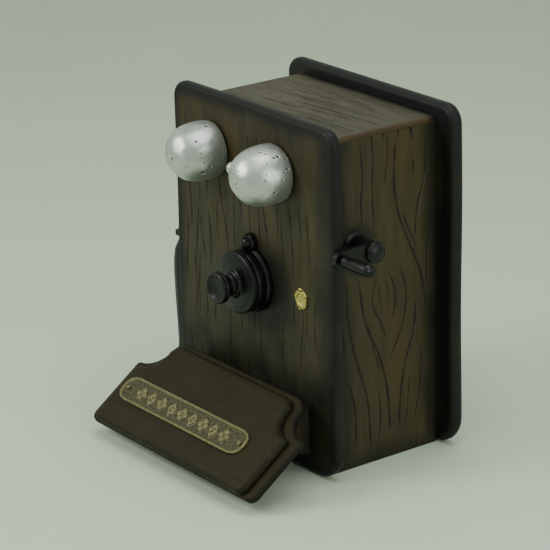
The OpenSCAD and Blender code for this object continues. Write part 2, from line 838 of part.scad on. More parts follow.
// Involute gear outline
press = 20;
function roll(r, rb) = let (a = acos(min(1, rb / r))) tan(a) * 180 / PI - a;
function half_angle(r, rp, rb, z, slack) =
    90 / z - slack / rp * 90 / PI + roll(rp, rb) - roll(max(r, rb), rb);
function tooth_radii(rf, rb, ra) =
    let (r0 = max(rf, rb)) concat(rb > rf ? [rf] : [], [for (i = [0:4]) r0 + (ra - r0) * i / 4]);
function gear_points(z, m, add, slack) =
    let (rp = z * m / 2, rb = rp * cos(press), ra = rp + add * m, rf = rp - 1.15 * m,
         rs = tooth_radii(rf, rb, ra), n = len(rs))
    [for (t = [0:z - 1], side = [-1, 1], i = [0:n - 1])
        let (r = rs[side < 0 ? i : n - 1 - i],
             a = 360 * t / z + side * half_angle(r, rp, rb, z, slack))
        [r * cos(a), r * sin(a)]];

module drive_gear() {
    color(brass) difference() {
        union() {
            along_x(gear_x, gear_x + gear_t) translate([crank_y, crank_z])
                polygon(gear_points(gear_teeth, tooth_m, 0.85, 0.2));
            rod_x(9, crank_y, crank_z, gear_x, gear_x + gear_t + 6);
        }
        rod_x(shaft_r, crank_y, crank_z, gear_x - e, gear_x + gear_t + 7);
        for (a = [0:60:300])
            rod_x(4.6, crank_y + 16.5 * cos(a), crank_z + 16.5 * sin(a), gear_x - e, gear_x + gear_t + e);
    }
}

module armature_pinion() {
    color(steel) difference() {
        along_x(gear_x - 0.3, gear_x + gear_t + 0.3) translate([arm_y, crank_z])
            rotate(180 / pinion_teeth) polygon(gear_points(pinion_teeth, tooth_m, 0.8, 0.2));
        rod_x(arm_shaft_r, arm_y, crank_z, gear_x - 1, gear_x + gear_t + 1);
    }
}

// grooved iron core with its winding in the grooves, on a shaft
module magneto_armature() {
    color(iron) {
        rod_x(arm_shaft_r, arm_y, crank_z, plate_b - 3, gear_x + gear_t + 4);
        difference() {
            rod_x(armature_r, arm_y, crank_z, -31, 54);
            for (s = [-1, 1])
                box([-32, 55], [arm_y - 7, arm_y + 7], [crank_z + min(6 * s, 15 * s), crank_z + max(6 * s, 15 * s)]);
        }
    }
    color(copper) for (s = [-1, 1])
        box([-29, 52], [arm_y - 7, arm_y + 7], [crank_z + min(6 * s, 11 * s), crank_z + max(6 * s, 11 * s)]);
}

module hook_lever() {
    z0 = hook_z - fork_t / 2;
    color(black) difference() {
        union() {
            // fork round the neck of the receiver
            translate([rec_x, rec_y, z0]) cylinder(r = fork_r, h = fork_t);
            box([rec_x - 8, rec_x], [rec_y - fork_r, rec_y + fork_r], [z0, z0 + fork_t]);
            // bar through the slot of the case
            box([rec_x + 10, hook_pivot_x + 18], [rec_y - hook_t / 2, rec_y + hook_t / 2],
                [hook_z - 4, hook_z + 3]);
            rod_y(6, hook_pivot_x, hook_z, rec_y - hook_t / 2, rec_y + hook_t / 2);
        }
        translate([rec_x, rec_y, z0 - 5]) cylinder(r = neck_r + 0.6, h = fork_t + 10);
        box([rec_x - fork_r - 1, rec_x], [rec_y - neck_r - 0.6, rec_y + neck_r + 0.6],
            [z0 - 5, z0 + fork_t + 5]);
        rod_y(hook_pin_r + pin_fit, hook_pivot_x, hook_z, rec_y - 6, rec_y + 6);
    }
}

// barrel, neck and tail flange of the receiver
module receiver_shell() {
    z0 = 31;
    color(black) translate([rec_x, rec_y, 0]) rotate_extrude() polygon([
        [22, z0], [26, z0], [26, z0 + 2], [22, z0 + 4.5], [17.5, z0 + 8], [15.6, z0 + 12],
        [15, z0 + 18], [15.6, 70], [16.8, 100], [17.5, 128], [17.2, 142], [15.8, 153],
        [12.5, 161], [neck_r, neck_z[0]], [neck_r, neck_z[1]], [11, neck_z[1]], [11.4, 176.5],
        [10.4, 179], [7, 181], [3, rec_z[1]], [3, 156], [11, 146], [13.5, 130], [12.5, 70],
        [12, z0 + 16], [18, z0 + 5], [22, z0 + 2]]);
}

module receiver_cap() {
    z0 = rec_z[0];
    color(black) translate([rec_x, rec_y, 0]) rotate_extrude() polygon([
        [4, z0 + 6], [20, z0 + 2], [24, z0], [27.5, z0], [29, z0 + 2], [29, z0 + 12],
        [27.6, z0 + 14.4], [22, z0 + 14.4], [4, z0 + 10]]);
}

module receiver_diaphragm() {
    color(silver) translate([rec_x, rec_y, rec_z[0] + 14.4]) cylinder(r = 25.6, h = 0.6);
}

back_board();
case_left_side();
case_right_side();
case_top();
case_bottom();
generator_shelf();
hinge_case_leaves();
hinge_pins();
case_screws();
crank_bushing();
magneto_bearing_plates();
magneto_magnets();
magneto_pole_pieces();
hook_escutcheon();
hook_bracket();
hook_pivot_pin();
hook_contacts();
dry_cells();
induction_coil();
terminal_block();
cord_bushing();
door_panel();
hinge_door_leaves();
door_screws();
gong_left();
gong_right();
gong_posts();
gong_screws();
ringer_frame();
ringer_coils();
transmitter_base();
transmitter_cup();
transmitter_face();
transmitter_diaphragm();
carbon_button();
mouthpiece();
button_contacts();
lock_escutcheon();
lock_barrel();
shelf_board();
shelf_top();
shelf_brackets();
nameplate();
nameplate_rivets();
clapper_armature();
clapper();
call_button();
lock_cylinder();
lock_cam();
crank_shaft();
crank_arm();
handle_spindle();
drive_gear();
crank_handle();
magneto_armature();
armature_pinion();
hook_lever();
receiver_shell();
receiver_cap();
receiver_diaphragm();
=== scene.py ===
"""Wall crank telephone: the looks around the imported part, in its frame (metres)."""
import json
import math
import random

import bmesh
import bpy
import numpy as np
from mathutils import Matrix, Vector, geometry, noise


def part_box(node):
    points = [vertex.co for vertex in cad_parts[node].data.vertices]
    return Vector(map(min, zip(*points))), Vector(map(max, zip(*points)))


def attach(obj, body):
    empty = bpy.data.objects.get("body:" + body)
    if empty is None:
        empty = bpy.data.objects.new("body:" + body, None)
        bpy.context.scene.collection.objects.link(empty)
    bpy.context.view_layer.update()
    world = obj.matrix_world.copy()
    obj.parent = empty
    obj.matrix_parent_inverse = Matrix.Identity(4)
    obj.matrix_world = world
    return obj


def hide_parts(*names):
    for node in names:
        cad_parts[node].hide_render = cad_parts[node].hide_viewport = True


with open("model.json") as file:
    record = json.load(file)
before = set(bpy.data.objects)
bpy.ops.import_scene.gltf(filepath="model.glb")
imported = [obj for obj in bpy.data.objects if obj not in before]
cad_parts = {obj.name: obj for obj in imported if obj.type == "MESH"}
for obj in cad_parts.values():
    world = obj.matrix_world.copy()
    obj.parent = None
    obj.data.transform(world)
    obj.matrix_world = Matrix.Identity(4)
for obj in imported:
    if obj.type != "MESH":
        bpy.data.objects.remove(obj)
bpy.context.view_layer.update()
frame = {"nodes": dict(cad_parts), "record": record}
MM = 0.001


# ---------- small helpers ----------

def low(node):
    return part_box(node)[0] / MM


def high(node):
    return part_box(node)[1] / MM


def mesh_object(name, verts, faces, smooth=True):
    """A mesh from millimetre coordinates."""
    mesh = bpy.data.meshes.new(name)
    mesh.from_pydata([tuple(float(c) * MM for c in v) for v in verts], [], faces)
    mesh.validate()
    bm = bmesh.new()
    bm.from_mesh(mesh)
    bmesh.ops.remove_doubles(bm, verts=bm.verts, dist=1e-6)
    bmesh.ops.recalc_face_normals(bm, faces=bm.faces)
    bm.to_mesh(mesh)
    bm.free()
    ob = bpy.data.objects.new(name, mesh)
    bpy.context.scene.collection.objects.link(ob)
    for p in mesh.polygons:
        p.use_smooth = smooth
    return ob


def dress(ob, body, material, slot, *nodes):
    ob.data.materials.clear()
    ob.data.materials.append(material)
    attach(ob, body)
    if nodes:
        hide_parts(*nodes)
    return ob


def smoothstep(a, b, v):
    t = np.clip((v - a) / (b - a), 0, 1)
    return t * t * (3 - 2 * t)


def lathe(name, profile, origin, axis, steps=96):
    """Turns (radius, height) points about an axis: height runs along it."""
    verts, faces = [], []
    w = Vector(axis).normalized()
    u = w.orthogonal().normalized()
    v = w.cross(u)
    o = Vector(origin)
    n = len(profile)
    for i in range(steps):
        a = 2 * math.pi * i / steps
        d = u * math.cos(a) + v * math.sin(a)
        for r, h in profile:
            verts.append(o + d * r + w * h)
    for i in range(steps):
        j = (i + 1) % steps
        for k in range(n - 1):
            faces.append((i * n + k, j * n + k, j * n + k + 1, i * n + k + 1))
    return mesh_object(name, verts, faces)


def rounded(points, r=0.6, n=4):
    """Rounds the inner corners of a lathe profile."""
    out = [Vector(points[0])]
    for a, b, c in zip(points, points[1:], points[2:]):
        a, b, c = Vector(a), Vector(b), Vector(c)
        if (a - b).length < 1e-6 or (c - b).length < 1e-6:
            continue
        k = min(r, (a - b).length * 0.45, (c - b).length * 0.45)
        p = b + (a - b).normalized() * k
        q = b + (c - b).normalized() * k
        for i in range(n + 1):
            t = i / n
            out.append(p * (1 - t) ** 2 + b * 2 * t * (1 - t) + q * t ** 2)
    out.append(Vector(points[-1]))
    return [tuple(v) for v in out]


# ---------- materials ----------

class Nodes:
    """A short way to write a node material."""

    def __init__(self, name):
        self.mat = bpy.data.materials.new(name)
        self.mat.use_nodes = True
        self.tree = self.mat.node_tree
        self.tree.nodes.clear()
        self.out = self.tree.nodes.new("ShaderNodeOutputMaterial")
        self.bsdf = self.tree.nodes.new("ShaderNodeBsdfPrincipled")
        self.tree.links.new(self.bsdf.outputs[0], self.out.inputs[0])
        self.coord = self.tree.nodes.new("ShaderNodeTexCoord")

    def link(self, a, b):
        self.tree.links.new(a, b)

    def set(self, socket, value):
        s = self.bsdf.inputs[socket]
        if isinstance(value, bpy.types.NodeSocket):
            self.link(value, s)
        else:
            s.default_value = value

    def noise(self, scale, detail=4, rough=0.55, stretch=(1, 1, 1), distort=0.0):
        mapping = self.tree.nodes.new("ShaderNodeMapping")
        mapping.inputs["Scale"].default_value = stretch
        self.link(self.coord.outputs["Object"], mapping.inputs["Vector"])
        n = self.tree.nodes.new("ShaderNodeTexNoise")
        n.inputs["Scale"].default_value = scale
        n.inputs["Detail"].default_value = detail
        n.inputs["Roughness"].default_value = rough
        n.inputs["Distortion"].default_value = distort
        self.link(mapping.outputs[0], n.inputs["Vector"])
        return n.outputs["Fac"]

    def voronoi(self, scale):
        n = self.tree.nodes.new("ShaderNodeTexVoronoi")
        n.feature = "F1"
        n.inputs["Scale"].default_value = scale
        self.link(self.coord.outputs["Object"], n.inputs["Vector"])
        return n.outputs["Distance"]

    def attribute(self, name):
        n = self.tree.nodes.new("ShaderNodeAttribute")
        n.attribute_name = name
        return n.outputs["Fac"]

    def remap(self, value, a, b, c=0.0, d=1.0):
        n = self.tree.nodes.new("ShaderNodeMapRange")
        for key, v in zip(("From Min", "From Max", "To Min", "To Max"), (a, b, c, d)):
            n.inputs[key].default_value = v
        self.link(value, n.inputs["Value"])
        return n.outputs["Result"]

    def ramp(self, value, stops):
        n = self.tree.nodes.new("ShaderNodeValToRGB")
        while len(n.color_ramp.elements) < len(stops):
            n.color_ramp.elements.new(0.5)
        for e, (p, c) in zip(n.color_ramp.elements, stops):
            e.position = p
            e.color = (*c, 1)
        self.link(value, n.inputs["Fac"])
        return n.outputs["Color"]

    def mix(self, fac, a, b, blend="MIX"):
        n = self.tree.nodes.new("ShaderNodeMix")
        n.data_type = "RGBA"
        n.blend_type = blend
        for key, v in ((0, fac), (6, a), (7, b)):
            if isinstance(v, bpy.types.NodeSocket):
                self.link(v, n.inputs[key])
            elif key == 0:
                n.inputs[key].default_value = v
            else:
                n.inputs[key].default_value = (*v, 1)
        return n.outputs[2]

    def math(self, op, a, b=0.0):
        n = self.tree.nodes.new("ShaderNodeMath")
        n.operation = op
        for key, v in ((0, a), (1, b)):
            if isinstance(v, bpy.types.NodeSocket):
                self.link(v, n.inputs[key])
            else:
                n.inputs[key].default_value = v
        return n.outputs[0]

    def bump(self, height, strength, distance):
        n = self.tree.nodes.new("ShaderNodeBump")
        n.inputs["Strength"].default_value = strength
        n.inputs["Distance"].default_value = distance
        self.link(height, n.inputs["Height"])
        self.link(n.outputs["Normal"], self.bsdf.inputs["Normal"])


def painted_wood(name, light, mid, wash_and_shade, along, lines=True, spec=0.22):
    """Painted grain under a dark wash that also carries painted shade. The wash with its painted shade, and
    the cut lines, come with the mesh.
    """
    m = Nodes(name)
    stretch = [14, 14, 14]
    stretch["xyz".index(along)] = 1.6
    streak = m.noise(9, 6, 0.62, stretch, 0.4)
    cloud = m.noise(16, 4, 0.5)
    fine = m.noise(330, 3, 0.6)
    base = m.ramp(streak, [(0.32, mid), (0.62, light)])
    base = m.mix(m.remap(cloud, 0.42, 0.7, 0, 0.45), base, mid)
    if lines:
        edge = m.math("ADD", m.attribute("wash_and_shade"), m.remap(cloud, 0.3, 0.7, -0.16, 0.16))
        base = m.mix(m.math("MULTIPLY", m.attribute("warm"), 0.6), base, WARM)
        # darker by the dark wash and the painted shade the mesh carries: painted shadows, darker corners and
        # undersides
        base = m.mix(m.remap(edge, 0.12, 0.95), base, wash_and_shade)
        base = m.mix(m.attribute("cut"), base, (0.006, 0.005, 0.005))
    m.set("Base Color", base)
    m.set("Roughness", m.remap(m.noise(60, 4), 0.3, 0.7, 0.46, 0.60))
    m.set("Specular IOR Level", spec)
    m.bump(m.math("ADD", m.math("MULTIPLY", streak, 0.6), m.math("MULTIPLY", fine, 0.35)), 0.35, 0.0006)
    return m.mat


def plain_paint(name, colour, tint, rough=(0.3, 0.42), bump=0.12, scale=150, metal=0.0, spec=0.28):
    m = Nodes(name)
    cloud = m.noise(28, 5, 0.6)
    m.set("Base Color", m.ramp(cloud, [(0.35, colour), (0.7, tint)]))
    m.set("Roughness", m.remap(m.noise(70, 5, 0.65), 0.3, 0.7, *rough))
    m.set("Metallic", metal)
    m.set("Specular IOR Level", spec)
    m.bump(m.noise(scale, 4, 0.6), bump, 0.0005)
    return m.mat


def silver_paint():
    """Silver paint with small pits where the casting shows through, and painted shade inside the gongs."""
    m = Nodes("silver_paint")
    pit = m.voronoi(105)
    pick = m.noise(42, 2, 0.5)
    hole = m.math("MULTIPLY", m.remap(pit, 0.16, 0.07), m.remap(pick, 0.62, 0.70))
    # the cut attribute adds the pits and the painted shade inside the gongs
    hole = m.math("MAXIMUM", hole, m.attribute("cut"))
    grime = m.remap(m.noise(33, 5, 0.65), 0.52, 0.74, 0, 0.38)
    base = m.mix(grime, (0.50, 0.525, 0.49), (0.20, 0.215, 0.20))
    base = m.mix(hole, base, (0.02, 0.02, 0.02))
    m.set("Base Color", base)
    m.set("Metallic", 0.80)
    m.set("Roughness", m.remap(m.noise(120, 5, 0.7), 0.3, 0.75, 0.33, 0.46))
    m.bump(m.math("SUBTRACT", m.math("MULTIPLY", m.noise(75, 5, 0.6), 0.6), hole), 0.5, 0.0007)
    return m.mat


def rough_gilt(name, bright, dark, metal=0.85, bump=0.6):
    m = Nodes(name)
    n = m.noise(420, 4, 0.7)
    # dark hollows, and painted shade on the flanks of raised steps, from the cut attribute
    hollows_and_step_shade = m.remap(m.attribute("cut"), 0, 1)
    base = m.mix(m.remap(n, 0.40, 0.62), dark, bright)
    base = m.mix(hollows_and_step_shade, base, tuple(c * 0.1 for c in dark))
    m.set("Base Color", base)
    m.set("Metallic", metal)
    m.set("Roughness", m.remap(n, 0.3, 0.7, 0.5, 0.3))
    m.bump(n, bump, 0.0006)
    return m.mat


# colour of the dark wash and of the painted shade on the wooden boards
WASH_AND_SHADE = (0.0060, 0.0062, 0.0054)
WARM = (0.060, 0.034, 0.011)
FRONT_WOOD = painted_wood("front_wood", (0.046, 0.0415, 0.0190), (0.0275, 0.0245, 0.0115), WASH_AND_SHADE, "z")
SIDE_WOOD = painted_wood("side_wood", (0.045, 0.0375, 0.0150), (0.0275, 0.0235, 0.0105), WASH_AND_SHADE, "z")
TOP_WOOD = painted_wood("top_wood", (0.062, 0.056, 0.034), (0.036, 0.033, 0.020), WASH_AND_SHADE, "x")
DARK_WOOD = painted_wood("dark_wood", (0.034, 0.028, 0.015), (0.023, 0.019, 0.011), WASH_AND_SHADE, "x", False)
SHELF_WOOD = painted_wood("shelf_wood", (0.0250, 0.0212, 0.0085), (0.0180, 0.0155, 0.0063), WASH_AND_SHADE, "x",
                          spec=0.12)
BLACK = plain_paint("black_enamel", (0.0016, 0.0020, 0.0019), (0.0032, 0.0038, 0.0036), (0.32, 0.44),
                    0.16, 120)
COMPOSITION = plain_paint("black_composition", (0.0016, 0.0020, 0.0019), (0.0030, 0.0036, 0.0034),
                          (0.32, 0.44), 0.12, 160)
SILVER = silver_paint()
GILT = rough_gilt("rough_gilt", (0.72, 0.64, 0.20), (0.24, 0.20, 0.05), 0.6)
BRONZE = rough_gilt("antique_bronze", (0.200, 0.180, 0.068), (0.110, 0.100, 0.040), 0.35, 0.15)
BRASS = plain_paint("brass", (0.50, 0.34, 0.12), (0.62, 0.44, 0.18), (0.28, 0.42), 0.1, 200, 1.0)
STEEL = plain_paint("steel", (0.42, 0.42, 0.43), (0.55, 0.55, 0.56), (0.30, 0.42), 0.08, 260, 1.0)
IRON = plain_paint("iron", (0.020, 0.020, 0.022), (0.035, 0.034, 0.034), (0.38, 0.52), 0.2, 140, 0.2)
COIL = plain_paint("coil_wrap", (0.16, 0.045, 0.03), (0.24, 0.07, 0.04), (0.5, 0.65), 0.5, 420)
CELL = plain_paint("cell_wrap", (0.26, 0.19, 0.11), (0.33, 0.25, 0.16), (0.65, 0.8), 0.2, 90)
EBONITE = plain_paint("ebonite", (0.010, 0.010, 0.010), (0.018, 0.017, 0.016), (0.42, 0.55), 0.1, 150)
SHEET = plain_paint("sheet", (0.45, 0.45, 0.46), (0.55, 0.55, 0.56), (0.35, 0.45), 0.06, 240, 1.0)

SLOT_MATERIAL = {
    "cabinet_wood": DARK_WOOD, "shelf_wood": DARK_WOOD, "black_enamel": BLACK,
    "black_composition": COMPOSITION, "bell_silver": SILVER, "brass": BRASS,
    "gilt": GILT, "bronze": BRONZE, "steel": STEEL, "iron": IRON, "coil_wrap": COIL,
    "cell_wrap": CELL, "terminal_black": EBONITE, "diaphragm": SHEET,
}
for part in frame["record"]["subparts"]:
    node = frame["nodes"][part["node"]]
    node.data.materials.clear()
    node.data.materials.append(SLOT_MATERIAL[part["material_slot"]])


# ---------- carved boards ----------

def spread(a, b, step):
    return np.linspace(a, b, max(2, int(round((b - a) / step)) + 1))


def thin_out(values, gap):
    out = []
    for v in sorted(values):
        if not out or v - out[-1] > gap:
            out.append(v)
    return out


def soften(points):
    """A smooth line through (u, v) points, as sorted v and u."""
    p = sorted((v, u) for u, v in points)
    v = np.array([a for a, b in p])
    u = np.array([b for a, b in p])
    slope = np.gradient(u, v)
    fine = spread(v[0], v[-1], 2.0)
    k = np.clip(np.searchsorted(v, fine) - 1, 0, len(v) - 2)
    gap = v[k + 1] - v[k]
    t = (fine - v[k]) / gap
    bent = ((2 * t ** 3 - 3 * t ** 2 + 1) * u[k] + (t ** 3 - 2 * t ** 2 + t) * gap * slope[k]
            + (3 * t ** 2 - 2 * t ** 3) * u[k + 1] + (t ** 3 - t ** 2) * gap * slope[k + 1])
    return fine, bent


def cut_lines(U, V, lines):
    """Depth and darkness of cut lines at each point. A line is (points, width, depth)."""
    depth, dark = np.zeros_like(U), np.zeros_like(U)
    for points, width, deep in lines:
        vs, us = soften(points)
        rows = np.where((V[:, 0] >= vs[0]) & (V[:, 0] <= vs[-1]))[0]
        if not len(rows):
            continue
        s = slice(rows[0], rows[-1] + 1)
        v = V[s]
        c = np.interp(v, vs, us)
        lean = np.abs(np.interp(v, vs, np.gradient(us, vs)))
        ends = np.minimum(v - vs[0], vs[-1] - v) / min(14.0, (vs[-1] - vs[0]) * 0.4)
        taper = np.sqrt(np.clip(ends, 0, 1))
        half = 1.25 * width * (0.4 + 0.6 * taper) * (1 + 0.3 * np.sin(v * 0.19 + us[0])) * np.hypot(1, lean)
        near = np.clip(1 - np.abs(U[s] - c) / half, 0, 1)
        depth[s] = np.maximum(depth[s], deep * taper * np.sqrt(near))
        dark[s] = np.maximum(dark[s], np.clip(near * 2.4, 0, 1) * np.clip(taper * 1.5, 0, 1))
    return depth, dark


def carved_board(name, w, v0, v1, place, under, corner=(0, 0), edge=4.0, lines=(), wash_and_shade=None,
                 warm=None, step=(0.8, 3.0), rim_tone=(0.85, 0.0), wobble=(0.0, 0.0)):
    """A board with a rounded edge whose face carries cut lines.

    Half width w, face from v0 to v1. place(u, v, h) puts a point into the frame, with h the
    under lists (inset, height) pairs round the edge to the back, rim_tone is the wash with painted shade and
    the warmth there, and wobble bends the outline sideways and upwards."""
    r_low, r_up = corner
    turn = [edge * (1 - math.cos(math.radians(a))) for a in range(0, 91, 10)]
    rows = [v0 + t for t in turn] + [v1 - t for t in turn] + list(spread(v0, v1, step[1]))
    for r, base, s in ((r_low, v0, 1), (r_up, v1, -1)):
        rows += [base + s * r * (1 - math.cos(math.radians(a))) for a in range(0, 91, 6)] if r else []
    cols = [w - t for t in turn] + [t - w for t in turn] + list(spread(-w, w, step[0]))
    rows, cols = np.array(thin_out(rows, 0.12)), np.array(thin_out(cols, 0.12))
    rows[-1], cols[-1] = v1, w
    U, V = np.meshgrid(cols, rows)
    wide = np.full_like(V, w)
    for r, gap in ((r_low, V - v0), (r_up, v1 - V)):
        if r:
            d = np.clip(r - gap, 0, r)
            wide = np.minimum(wide, w - r + np.sqrt(r ** 2 - d ** 2))
    inner = w - max(r_low, r_up, edge) - 8
    over = np.clip((np.abs(U) - inner) / (w - inner), 0, 1)
    X = np.where(np.abs(U) > inner, np.sign(U) * (inner + over * (wide - inner)), U)
    margin = np.minimum(w - np.abs(X), np.minimum(V - v0, v1 - V))
    for r, vc, s in ((r_low, v0 + r_low, -1), (r_up, v1 - r_up, 1)):
        if r:
            beyond = (np.abs(X) > w - r) & (s * (V - vc) > 0)
            margin = np.where(beyond, r - np.hypot(np.abs(X) - (w - r), V - vc), margin)
    margin = np.clip(margin, 0, None)
    drop = edge - np.sqrt(edge ** 2 - np.clip(edge - margin, 0, edge) ** 2)
    depth, dark = cut_lines(X, V, lines)
    h = -drop - depth
    shade = wash_and_shade(X, V, margin) if wash_and_shade else np.zeros_like(X)
    glow = warm(X, V, margin) if warm else np.zeros_like(X)
    mid, half_v = (v0 + v1) / 2, (v1 - v0) / 2
    bent = X + wobble[0] * np.sin(V / 37 + 0.8) * np.abs(X) / w
    V = V + wobble[1] * np.sin(X / 41 + 2.0) * np.abs(V - mid) / half_v
    X = bent
    nr, nc = X.shape
    verts = [place(X[i, j], V[i, j], h[i, j]) for i in range(nr) for j in range(nc)]
    faces = [(i * nc + j, i * nc + j + 1, (i + 1) * nc + j + 1, (i + 1) * nc + j)
             for i in range(nr - 1) for j in range(nc - 1)]
    rim = ([(0, j) for j in range(nc)] + [(i, nc - 1) for i in range(1, nr)]
           + [(nr - 1, j) for j in range(nc - 2, -1, -1)] + [(i, 0) for i in range(nr - 2, 0, -1)])
    layers = {"wash_and_shade": list(shade.ravel()), "warm": list(glow.ravel()), "cut": list(dark.ravel())}
    last = [i * nc + j for i, j in rim]
    for inset, height in under:
        ring = []
        for i, j in rim:
            ring.append(len(verts))
            v = mid + (V[i, j] - mid) * (1 - inset / half_v)
            verts.append(place(X[i, j] * (1 - inset / w), v, height))
            layers["wash_and_shade"].append(rim_tone[0])
            layers["warm"].append(rim_tone[1])
            layers["cut"].append(0.0)
        faces += [(last[a], last[(a + 1) % len(rim)], ring[(a + 1) % len(rim)], ring[a])
                  for a in range(len(rim))]
        last = ring
    faces.append(tuple(reversed(last)))
    return layered_mesh(name, verts, faces, layers)


def layered_mesh(name, verts, faces, layers, merge=0.0):
    """A mesh from millimetres, with float values kept at its points."""
    mesh = bpy.data.meshes.new(name)
    mesh.from_pydata([tuple(float(c) * MM for c in v) for v in verts], [], faces)
    for key, values in layers.items():
        mesh.attributes.new(key, "FLOAT", "POINT").data.foreach_set("value", np.array(values, np.float32))
    for p in mesh.polygons:
        p.use_smooth = len(p.vertices) <= 4
    bm = bmesh.new()
    bm.from_mesh(mesh)
    if merge:
        bmesh.ops.remove_doubles(bm, verts=bm.verts, dist=merge)
    bmesh.ops.recalc_face_normals(bm, faces=bm.faces)
    bm.to_mesh(mesh)
    bm.free()
    ob = bpy.data.objects.new(name, mesh)
    bpy.context.scene.collection.objects.link(ob)
    return ob


def cut_holes(ob, cutters):
    """Cuts closed meshes, given as (verts, faces) in millimetres, out of a board."""
    for verts, faces in cutters:
        tool = mesh_object("tool", verts, faces, False)
        mod = ob.modifiers.new("cut", "BOOLEAN")
        mod.operation, mod.solver, mod.object = "DIFFERENCE", "EXACT", tool
        deps = bpy.context.evaluated_depsgraph_get()
        cut = bpy.data.meshes.new_from_object(ob.evaluated_get(deps))
        ob.modifiers.clear()
        ob.data = cut
        bpy.data.objects.remove(tool)
        # the new edges of a hole get the dark wash and painted shade, like the back of the board
        box = np.array([tuple(v) for v in verts]) * MM
        at = np.zeros(len(cut.vertices) * 3)
        cut.vertices.foreach_get("co", at)
        at = at.reshape(-1, 3)
        on_edge = np.all((at > box.min(0) - 2e-5) & (at < box.max(0) + 2e-5), axis=1)
        for key, tone in (("wash_and_shade", 0.85), ("warm", 0.0), ("cut", 0.0)):
            values = np.zeros(len(at), np.float32)
            cut.attributes[key].data.foreach_get("value", values)
            values[on_edge] = tone
            cut.attributes[key].data.foreach_set("value", values)
    ob.data.name = ob.name
    return ob


def bar_tool(centre, half):
    """A block for cut_holes."""
    c, d = centre, half
    verts = [(c[0] + sx * d[0], c[1] + sy * d[1], c[2] + sz * d[2])
             for sx in (-1, 1) for sy in (-1, 1) for sz in (-1, 1)]
    return verts, [(0, 1, 3, 2), (4, 6, 7, 5), (0, 4, 5, 1), (2, 3, 7, 6), (0, 2, 6, 4), (1, 5, 7, 3)]


def rod_tool(centre, axis, r, half, n=32):
    """A rod for cut_holes."""
    w = Vector(axis).normalized()
    u = w.orthogonal().normalized()
    v = w.cross(u)
    ring = [u * math.cos(2 * math.pi * i / n) * r + v * math.sin(2 * math.pi * i / n) * r
            for i in range(n)]
    verts = [Vector(centre) + p + w * side for side in (-half, half) for p in ring]
    faces = [(i, (i + 1) % n, n + (i + 1) % n, n + i) for i in range(n)]
    return verts, faces + [tuple(range(n - 1, -1, -1)), tuple(range(n, 2 * n))]


def grain(seed, count, span, v_range, length, lean=0.0, width=(0.45, 0.8), depth=(0.5, 0.9), gap=5.0,
          skip=None):
    """Scattered wavy cut lines for a straight grain."""
    rng = random.Random(seed)
    kept, out = [], []
    for _ in range(count * 80):
        if len(out) == count:
            break
        u, size = rng.uniform(*span), rng.uniform(*length)
        a = rng.uniform(v_range[0], v_range[1] - size * 0.5)
        b = min(a + size, v_range[1])
        if skip and skip(u, a, b):
            continue
        if any(abs(u - k[0]) < gap and a < k[2] + 4 and b > k[1] - 4 for k in kept):
            continue
        kept.append((u, a, b))
        phase, swing = rng.uniform(0, 6.28), rng.uniform(1.2, 3.4)
        vs = spread(a, b, 12.0)
        points = [(u - lean * (v - (a + b) / 2) + swing * math.sin(v / 19 + phase), v) for v in vs]
        out.append((points, rng.uniform(*width), rng.uniform(*depth)))
    return out


def cloudy(X, V, size, seed=0.0):
    """A soft uneven value from -1 to 1 over a board."""
    return (np.sin(X / size + 1.7 * np.sin(V / (2.3 * size) + seed)) * np.cos(V / (1.6 * size) + seed * 2)
            + 0.5 * np.sin(X / (0.43 * size) + V / (0.9 * size) + seed)) / 1.5


# ---------- slabs with a free outline ----------

